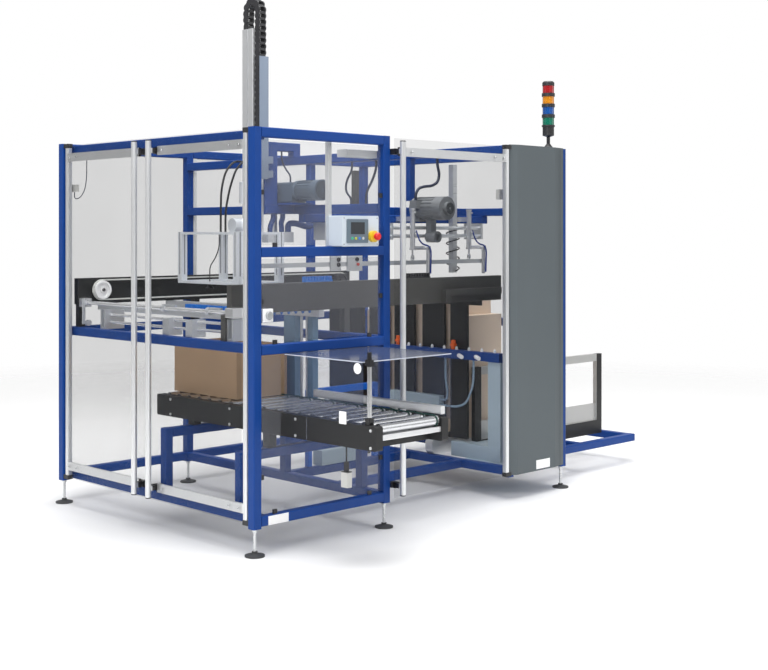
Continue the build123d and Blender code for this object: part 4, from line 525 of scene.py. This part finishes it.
# The near beam is painted a lighter grey than the far one: a painted reflection on the same black coat.
beam_coat.recolour((beam_coat.axes()[1] < BETWEEN_BEAMS_Y, (0.060, 0.059, 0.056)))
dress(beam_coat, "feed_beams")
wheel_nylon = moulded("wheel_nylon", (0.90, 0.90, 0.90), 0.4)
wheel_x, wheel_y, _ = wheel_nylon.axes()
is_driver = (wheel_x > DRIVER_FROM[0]) * (wheel_y > DRIVER_FROM[1])
wheel_nylon.recolour((is_driver, (0.03, 0.03, 0.033)))
dress(wheel_nylon, "belt_wheels")
hub_steel = ground_steel("hub_steel", (0.12, 0.12, 0.12), "Y", 0.35)
hub_at = (WHEEL_AT[0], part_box("belt_wheels")[1][1] - WHEEL_DEEP, WHEEL_AT[1])
row("wheel_hub_screw", hub_steel, screw_outline(0.010, 0.006), [hub_at], TO_FRONT)
fitting_blue = moulded("fitting_blue", (0.01, 0.14, 0.50), 0.3)
push_in = [(0, 0.022), (0.006, 0.022), (0.007, 0.014), (0.010, 0.012), (0.010, 0)]
places = [(FITTING_START + FITTING_STEP * i, FITTING_Y, BEAM_BASE) for i in range(FITTINGS)]
row("beam_fittings", fitting_blue, push_in, places, DOWN, 12)
dress(moulded("round_belt", (0.62, 0.63, 0.6), 0.55), "feed_belts")

# Folding gear: chromed rods with aluminium yokes and carriages, profiles across with painted legs,
# and moulded cable chains, blue at the left and black further right.
CHAIN_BLACK_FROM = 1.3
dress(extruded("rod_chrome", "Y", (0.90, 0.91, 0.92), 0.2), "former_rods")
dress(extruded("bracket_alloy", "Y", (0.74, 0.76, 0.79), 0.36), "metal_brackets", "cross_profiles")
dress(powder_coat("leg_blue", (0.10, 0.19, 0.29), 0.4), "former_legs")
chain_coat = moulded("chain_coat", (0.008, 0.17, 0.62), 0.4)
chain_coat.recolour((chain_coat.axes()[0] > CHAIN_BLACK_FROM, BLACK_NYLON))
dress(chain_coat, "cable_chains")

# Valve box: pale blue enamelled steel by the magazine, under a manifold bar in the frame's blue.
# White fittings, two orange handles and two white silencers are screwed into the bar.
MANIFOLD = (0.803, 0.862)
MANIFOLD_TOP = 0.860
MANIFOLD_X = 2.006
VALVE_ROW_Y = 0.16
VALVE_STEP = 0.105
VALVES = 9
HANDLES_Y = (0.503, 0.991)
HANDLE_PARTS = (
    ((1.996, -0.012, 0), (2.018, 0.012, 0.060)),
    ((1.992, -0.018, 0.022), (2.022, 0.018, 0.036)),
)
HANDLE_EDGE = 0.004
SILENCERS_Y = (0.300, 0.440)
SILENCER_X, SILENCER_Z = 1.985, 0.830
SILENCER_LEAN = (-0.5, -0.86, -0.1)
valve_blue = powder_coat("valve_blue", (0.42, 0.52, 0.59), 0.35)
valve_z = valve_blue.axes()[2]
valve_blue.recolour(((valve_z > MANIFOLD[0]) * (valve_z < MANIFOLD[1]), FRAME_BLUE))
dress(valve_blue, "pneumatic_box")
fitting = [(0, 0.022), (0.005, 0.022), (0.005, 0.016), (0.009, 0.014), (0.009, 0)]
places = [(MANIFOLD_X, VALVE_ROW_Y + VALVE_STEP * i, MANIFOLD_TOP) for i in range(VALVES)]
row("manifold_fittings", white_moulding, fitting, places, UP, 12)
handle_orange = moulded("handle_orange", (0.80, 0.12, 0.01), 0.35)
handles = [
    [(x, y + off, MANIFOLD_TOP + rise) for x, off, rise in part]
    for y in HANDLES_Y
    for part in HANDLE_PARTS
]
blocks("valve_handles", handle_orange, handles, HANDLE_EDGE)
silencer = [(0, 0.07), (0.010, 0.07), (0.013, 0.066), (0.013, 0.008), (0.010, 0.004), (0.010, 0)]
places = [(SILENCER_X, y, SILENCER_Z) for y in SILENCERS_Y]
row("silencers", white_moulding, silencer, places, SILENCER_LEAN, 16)

# Pick unit: aluminium rails in hangers under the beam, and a long bar on the rods of two cylinders.
# A thin air hose runs down from each cylinder, and a black one winds round the post.
# Dials and a button are set in the two plates on the bar.
CYLINDERS = (1.634, 2.151)
CYLINDER_Y = 0.5
CYLINDER_FACE = 0.484
ROD_COLLAR_BASE = 1.428
CLAMP_LEVELS = (1.60, 1.72)
ARM_HOSE = 0.010
COIL_HOSE = 0.008
POST_X, POST_Y = 2.114, 0.605
COIL_RADIUS = 0.042
COIL_TURNS = 4
COIL_STEP = 16
COIL_BASE = 1.360
COIL_HEIGHT = 0.256
PICK_PLATE_FACE = 0.4775
DIALS = ((1.000, 1.441), (1.000, 1.412), (1.146, 1.441))


def tube(name, routes, diameter, finish, body, closed=False):
    """Round hoses or belts of one diameter, each along its own smooth route."""
    curve = bpy.data.curves.new(name, "CURVE")
    curve.dimensions = "3D"
    curve.bevel_depth = diameter / 2
    curve.bevel_resolution = 2
    curve.use_fill_caps = True
    for route in routes:
        spline = curve.splines.new("POLY" if closed else "NURBS")
        spline.points.add(len(route) - 1)
        for point, place in zip(spline.points, route):
            point.co = (*place, 1)
        spline.use_cyclic_u = closed
        if not closed:
            spline.order_u = 3
            spline.use_endpoint_u = True
            spline.resolution_u = 6
    return show(curve, name, finish, body)


dress(extruded("pick_alloy", "X", (0.66, 0.68, 0.70), 0.3), "pick_frame")
dress(extruded("cylinder_tube", "Z", (0.82, 0.83, 0.85), 0.22), "pick_cylinders")
arm_routes = [
    [
        (x + 0.016, 0.484, 1.610), (x + 0.020, 0.470, 1.560), (x + 0.045, 0.458, 1.524),
        (x + 0.100, 0.455, 1.516), (x + 0.120, 0.456, 1.480), (x + 0.116, 0.457, 1.410),
        (x + 0.116, 0.458, 1.345),
    ]
    for x in CYLINDERS
]
air_blue = moulded("air_blue", (0.01, 0.035, 0.22), 0.3)
tube("arm_hoses", arm_routes, ARM_HOSE, air_blue, "machine_frame")
coil = [(POST_X, 0.584, 1.352), (POST_X - 0.004, 0.566, 1.352)]
for i in range(COIL_TURNS * COIL_STEP + 1):
    angle = 2 * pi * i / COIL_STEP - pi / 2
    height = COIL_BASE + COIL_HEIGHT * i / (COIL_TURNS * COIL_STEP)
    coil.append((POST_X + COIL_RADIUS * cos(angle), POST_Y + COIL_RADIUS * sin(angle), height))
coil += [(POST_X + 0.014, 0.575, 1.640), (POST_X + 0.022, 0.628, 1.640), (POST_X + 0.024, 0.640, 1.655)]
tube("coil_hose", [coil], COIL_HOSE, black_moulding, "machine_frame")
clamp = [(0, 0.014), (0.005, 0.014), (0.006, 0.010), (0.006, 0)]
collar = [(0.006, 0.030), (0.010, 0.028), (0.012, 0.010), (0.009, 0), (0.006, 0)]
clamps = bmesh.new()
for x in CYLINDERS:
    for z in CLAMP_LEVELS:
        add_lathed(clamps, clamp, (x, CYLINDER_FACE, z), TO_FRONT, 10)
    add_lathed(clamps, collar, (x, CYLINDER_Y, ROD_COLLAR_BASE), UP, 16)
piece_from(clamps, "cylinder_fittings", screw_steel, "machine_frame")
dial = [(0, 0.002), (0.006, 0.002), (0.007, 0.006), (0.012, 0.006), (0.013, 0.004), (0.013, 0)]
places = [(x, PICK_PLATE_FACE, z) for x, z in DIALS]
row("plate_dials", black_moulding, dial, places, TO_FRONT, 18)
cap_red = moulded("cap_red", (0.55, 0.03, 0.012), 0.35)
button = [(0, 0.010), (0.007, 0.010), (0.009, 0.008), (0.009, 0)]
row("plate_button", cap_red, button, [(1.152, PICK_PLATE_FACE, 1.412)], TO_FRONT, 18)

# Conveyor: bright steel rollers between black side plates, with an aluminium guide bar.
# A green round belt joins each roller to the next. The left side shows its screws, the seam
# between two plates, and a bare white plate and disc.
ROLLERS = 19
ROLLER_RADIUS = 0.025
BELT_CORD = 0.006
BELT_INSETS = (0.022, 0.014)
SIDE_SCREWS_Y = (-0.647, -0.110, 0.420, 0.950)
SIDE_SCREWS_Z = (0.590, 0.672)
TAG_PROUD = 0.003
TAG_EDGE = 0.001
dress(ground_steel("roller_tube", (0.66, 0.67, 0.69), "X", 0.25), "conveyor_rollers")
dress(extruded("guide_alloy", "Y"), "guide_bar")
black_coat = powder_coat("black_coat", (0.007, 0.0072, 0.008), 0.55)
dress(black_coat, "conveyor_sides", "conveyor_supports")
roller_low, roller_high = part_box("conveyor_rollers")
pitch = (roller_high[1] - roller_low[1] - 2 * ROLLER_RADIUS) / (ROLLERS - 1)
wrap = ROLLER_RADIUS + BELT_CORD / 2
z = roller_low[2] + ROLLER_RADIUS
turns = [pi * step / 8 for step in range(9)]
loops = []
for i in range(ROLLERS - 1):
    start = roller_low[1] + ROLLER_RADIUS + i * pitch
    x = roller_high[0] - BELT_INSETS[i % 2]
    loop = [(x, start + pitch + wrap * sin(angle), z + wrap * cos(angle)) for angle in turns]
    loop += [(x, start - wrap * sin(angle), z - wrap * cos(angle)) for angle in turns]
    loops.append(loop)
belt_green = moulded("belt_green", (0.004, 0.045, 0.035), 0.5)
tube("drive_belts", loops, BELT_CORD, belt_green, "machine_frame", closed=True)
side_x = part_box("conveyor_sides")[0][0]
white_zinc = ground_steel("white_zinc", (0.85, 0.86, 0.87), "Y", 0.3)
places = [(side_x, y, z) for y in SIDE_SCREWS_Y for z in SIDE_SCREWS_Z]
screws("side_screws", white_zinc, places, TO_LEFT, radius=0.0075, height=0.004)
seam = ((side_x - LINE_PROUD, -0.1945, 0.580), (side_x, -0.1920, 0.688))
blocks("plate_seam", screw_steel, [seam], LINE_EDGE)
disc = [(0, 0.002), (0.025, 0.002), (0.026, 0.001), (0.026, 0)]
bare = bmesh.new()
add_block(bare, (side_x - TAG_PROUD, -0.481, 0.684), (side_x, -0.431, 0.744), TAG_EDGE)
add_lathed(bare, disc, (side_x, -0.557, 0.956), TO_LEFT, 32)
piece_from(bare, "bare_plates", white_moulding, "machine_frame")

# Tunnel: clear sheet over the outlet, on a steel rod in two black nylon clamps.
# The roof is drawn more opaque than the sides, and pale strips along its front and left edges are painted
# highlights.
TUNNEL_TINT = (0.09, 0.11, 0.18)
TUNNEL_ALPHA = 0.14
ROOF_EXTRA = 0.46
ROOF_THICK = 0.006
ROD_BARE = (0.727, 0.966)
EDGE_DEEP = 0.005
EDGE_BACK_Y = -0.026
(left, front, _), (right, _, top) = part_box("tunnel_guard")
tunnel_clear = clear_sheet("tunnel_clear", TUNNEL_TINT, TUNNEL_ALPHA)
on_roof = tunnel_clear.axes()[2] > top - ROOF_THICK
tunnel_clear.shade("Alpha", TUNNEL_ALPHA + on_roof * ROOF_EXTRA + tunnel_clear.noise(1.7) * 0.05)
dress(tunnel_clear, "tunnel_guard")
rod_finish = ground_steel("tunnel_steel", (0.8, 0.81, 0.82), "Z", 0.15)
rod_z = rod_finish.axes()[2]
is_nylon = (rod_z < ROD_BARE[0]) + (rod_z > ROD_BARE[1])
rod_finish.recolour((is_nylon, (0.015, 0.015, 0.017)))
rod_finish.shade("Metallic", 1 - is_nylon)
dress(rod_finish, "tunnel_rod")
# Pale strips along the roof's front and left edges: painted highlights.
edges = [
    ((left, front - LINE_PROUD, top - EDGE_DEEP), (right, front, top)),
    ((left - LINE_PROUD, front, top - EDGE_DEEP), (left, EDGE_BACK_Y, top)),
]
painted_edge_highlight = clear_sheet("painted_edge_highlight", (0.75, 0.78, 0.88), 0.7)
blocks("roof_edge_highlight", painted_edge_highlight, edges, LINE_EDGE)

# Operator box: enamelled steel with four corner screws, a display in a moulded bezel,
# four round film keys and a red stop button on its yellow collar.
DISPLAY_INSET = 0.026
DISPLAY_SPAN = (0.078, 0.016)
KEY_START = 0.036
KEY_STEP = 0.026
KEY_LIFT = 0.024
KEY_COLOURS = ((0.03, 0.45, 0.25), (0.45, 0.50, 0.04), (0.05, 0.20, 0.60), (0.60, 0.62, 0.64))
BOX_SCREW_INSET = 0.012
STOP_CAP_Y = -0.1275
dress(moulded("bezel", (0.115, 0.16, 0.20), 0.35), "operator_screen")
bezel_low, bezel_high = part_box("operator_screen")
bezel_face = bezel_low[1]
display = (
    (bezel_low[0] + DISPLAY_INSET, bezel_face - PLATE_PROUD, bezel_high[2] - DISPLAY_SPAN[0]),
    (bezel_high[0] - DISPLAY_INSET, bezel_face, bezel_high[2] - DISPLAY_SPAN[1]),
)
display_glass = Finish("display_glass", (0.035, 0.04, 0.045), 0.12)
display_glass.shade("Roughness", 0.1 + display_glass.noise(60) * 0.06)
blocks("display", display_glass, [display], PLATE_EDGE)
key_film = moulded("key_film", KEY_COLOURS[0], 0.35)
key_x = key_film.axes()[0]
first_gap = bezel_low[0] + KEY_START + KEY_STEP / 2
key_film.recolour(*[
    (key_x > first_gap + KEY_STEP * i, colour) for i, colour in enumerate(KEY_COLOURS[1:])
])
key = [(0, 0.002), (0.006, 0.002), (0.0075, 0.001), (0.0075, 0)]
keys_x = [bezel_low[0] + KEY_START + KEY_STEP * i for i in range(len(KEY_COLOURS))]
places = [(x, bezel_face, bezel_low[2] + KEY_LIFT) for x in keys_x]
row("panel_keys", key_film, key, places, TO_FRONT, 18)
box_low, box_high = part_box("operator_box")
corners_x = (box_low[0] + BOX_SCREW_INSET, box_high[0] - BOX_SCREW_INSET)
corners_z = (box_low[2] + BOX_SCREW_INSET, box_high[2] - BOX_SCREW_INSET)
places = [(x, box_low[1], z) for x in corners_x for z in corners_z]
screws("box_screws", screw_steel, places, TO_FRONT, radius=0.004, height=0.002)
stop = Finish("stop_plastic", (0.75, 0.5, 0.02), 0.3)
stop.recolour((stop.axes()[1] < STOP_CAP_Y, (0.7, 0.02, 0.015)))
dress(stop, "emergency_stop")

# Magazine: side guides of grey aluminium bar between black painted posts and low rails,
# slim belt conveyors in aluminium profile, and black coated plates at the front.
# The posts stand on the blue floor beams.
GUIDE_LOW_TOP = 0.290
GUIDE_POSTS = (2.139, 3.361)
dress(extruded("belt_extrusion", "X"), "magazine_belts")
guide_grey = extruded("guide_grey", "X", (0.55, 0.55, 0.54), 0.4)
guide_x, _, guide_z = guide_grey.axes()
is_painted = (guide_z < GUIDE_LOW_TOP) + (guide_x > GUIDE_POSTS[1]) + (guide_x < GUIDE_POSTS[0])
guide_grey.recolour((is_painted, (0.012, 0.012, 0.013)))
guide_grey.shade("Metallic", 0.6 - is_painted * 0.6)
dress(guide_grey, "magazine_guides")
dress(black_coat, "magazine_front")

# Blanks and formed tray: brown corrugated board, cut, creased and folded.
# The flutes show faintly through the liner.
TRAY_BOARD = (0.52, 0.35, 0.215)
# The blanks' board is much paler than the tray's: painted light that lifts them out of the shade where they
# lie.
LIT_BLANK_BOARD = (0.90, 0.73, 0.58)


def corrugated(name, colour, flute_axis, flute=0.007):
    board = Finish(name, colour, 0.8)
    fibres = board.noise(500, (1, 1, 0.2))
    blotch = board.noise(5)
    shaded = tuple(0.75 * part for part in colour) + (1,)
    wave = (board.axes()["XYZ".index(flute_axis)] * (2 * pi / flute)).sine()
    board.shade("Base Color", board.mix(fibres * 0.4 + blotch * 0.3, board.base, shaded))
    board.bump(wave * 0.5 + fibres, 0.0002)
    return board


dress(corrugated("lit_blank_board", LIT_BLANK_BOARD, "X", 0.005), "tray_blanks")
dress(corrugated("tray_board", TRAY_BOARD, "Y"), "formed_tray")

# Hoses: dark plastic conduit and cable, blue hose under the head and pale air hose at the manifold.
# Each runs from one fitting to another.
AIR_LINE_FROM_X = 1.9
AIR_LINE_BELOW = 0.83
DROPS_X = (0.7, 1.1)
DROPS_Z = (1.59, 1.72)
hose_plastic = moulded("hose_plastic", (0.012, 0.018, 0.045), 0.5)
hose_x, _, hose_z = hose_plastic.axes()
is_air_line = (hose_x > AIR_LINE_FROM_X) * (hose_z < AIR_LINE_BELOW)
is_drop = (hose_x > DROPS_X[0]) * (hose_x < DROPS_X[1]) * (hose_z > DROPS_Z[0]) * (hose_z < DROPS_Z[1])
hose_plastic.recolour((is_drop, (0.008, 0.045, 0.20)), (is_air_line, (0.26, 0.36, 0.46)))
dress(hose_plastic, "hoses")
dress(black_moulding, "lift_hoses")

# Studio: a pale floor that fades into a white room, with a painted shadow under the machine.
# The room lights the part with soft upright panels, while the camera sees plain white.
FLOOR_REACH = 9
FLOOR_MIDDLE = (1.6, 0.9)
FLOOR_FADE = (3.5, 8.5)
SHADE_MIDDLE = (1.2, 0.95)
SHADE_REACH = (1.75, 1.3)
SHADE_FADE = (0.35, 1.15)
SHADE_DEPTH = 0.75
ROOM_LOW = 0.24
ROOM_TOP = 0.45
PANEL_LIGHT = 0.8
PANEL_SWING = (7, 3)
floor_mesh = bmesh.new()
bmesh.ops.create_circle(floor_mesh, cap_ends=True, segments=96, radius=FLOOR_REACH)
bmesh.ops.translate(floor_mesh, vec=(*FLOOR_MIDDLE, 0), verts=floor_mesh.verts)
floor_white = Finish("floor_white", (0.97, 0.97, 0.97), 0.6)
floor_x, floor_y, _ = floor_white.axes()
away = ((floor_x - FLOOR_MIDDLE[0]) ** 2 + (floor_y - FLOOR_MIDDLE[1]) ** 2) ** 0.5
floor_white.shade("Alpha", floor_white.fade(away, *FLOOR_FADE))
floor_white.shade("Roughness", 0.55 + floor_white.noise(4) * 0.1)
across = (floor_x - SHADE_MIDDLE[0]) / SHADE_REACH[0]
inwards = (floor_y - SHADE_MIDDLE[1]) / SHADE_REACH[1]
in_shade = floor_white.fade(across ** 2 + inwards ** 2, *SHADE_FADE, SHADE_DEPTH)
floor_white.recolour((in_shade, (0.52, 0.525, 0.54)))
floor = piece_from(floor_mesh, "floor", floor_white)

world = bpy.data.worlds.new("white_room")
world.use_nodes = True
room = world.node_tree
seen_white = room.nodes["Background"]
seen_white.inputs["Color"].default_value = (1, 1, 1, 1)
lighting = room.nodes.new("ShaderNodeBackground")
rays = room.nodes.new("ShaderNodeLightPath")
choice = room.nodes.new("ShaderNodeMixShader")
direction = room.nodes.new("ShaderNodeSeparateXYZ")
room.links.new(room.nodes.new("ShaderNodeTexCoord").outputs["Generated"], direction.inputs[0])
sideways, inward, upward = [Wire(room, out) for out in direction.outputs]
swing = sideways * PANEL_SWING[0] + inward * PANEL_SWING[1]
panels = ((swing.sine() + 1) * 0.5) ** 2 * PANEL_LIGHT
room_light = panels + upward.maths("MAXIMUM", upward, 0) * ROOM_TOP + ROOM_LOW
room.links.new(room_light.socket, lighting.inputs["Strength"])
room.links.new(rays.outputs["Is Camera Ray"], choice.inputs[0])
room.links.new(lighting.outputs[0], choice.inputs[1])
room.links.new(seen_white.outputs[0], choice.inputs[2])
room.links.new(choice.outputs[0], room.nodes["World Output"].inputs["Surface"])
scene = bpy.context.scene
scene.world = world
scene.view_settings.view_transform = "Standard"
scene.cycles.transparent_max_bounces = 40

# Lamps and camera: three broad soft lamps, and a level camera at eye height
# that looks between the front and the left end, shifted down to frame the floor.
AIM = Vector((1.4, 0.7, 1.0))
EYE = (-4.006, -4.963, 1.6)
LOOK = Vector((0.7027, 0.7115, 0))
LAMPS = (
    ("key", (-5.5, -2.5, 6.0), 4.0, 330),
    ("overhead", (1.2, -0.2, 7.0), 5.0, 480),
    ("fill", (6.5, -5.5, 4.0), 4.0, 60),
)
for name, spot, size, power in LAMPS:
    lamp_data = bpy.data.lights.new(name, "AREA")
    lamp_data.size = size
    lamp_data.energy = power
    lamp_object = bpy.data.objects.new(name, lamp_data)
    lamp_object.location = spot
    lamp_object.rotation_mode = "QUATERNION"
    lamp_object.rotation_quaternion = (AIM - Vector(spot)).to_track_quat("-Z", "Y")
    bpy.context.collection.objects.link(lamp_object)

camera_data = bpy.data.cameras.new("camera")
camera_data.sensor_width = 36
camera_data.lens = 60.33
camera_data.shift_y = -0.1341
camera = bpy.data.objects.new("camera", camera_data)
camera.location = EYE
camera.rotation_mode = "QUATERNION"
camera.rotation_quaternion = LOOK.to_track_quat("-Z", "Y")
bpy.context.collection.objects.link(camera)
scene.camera = camera
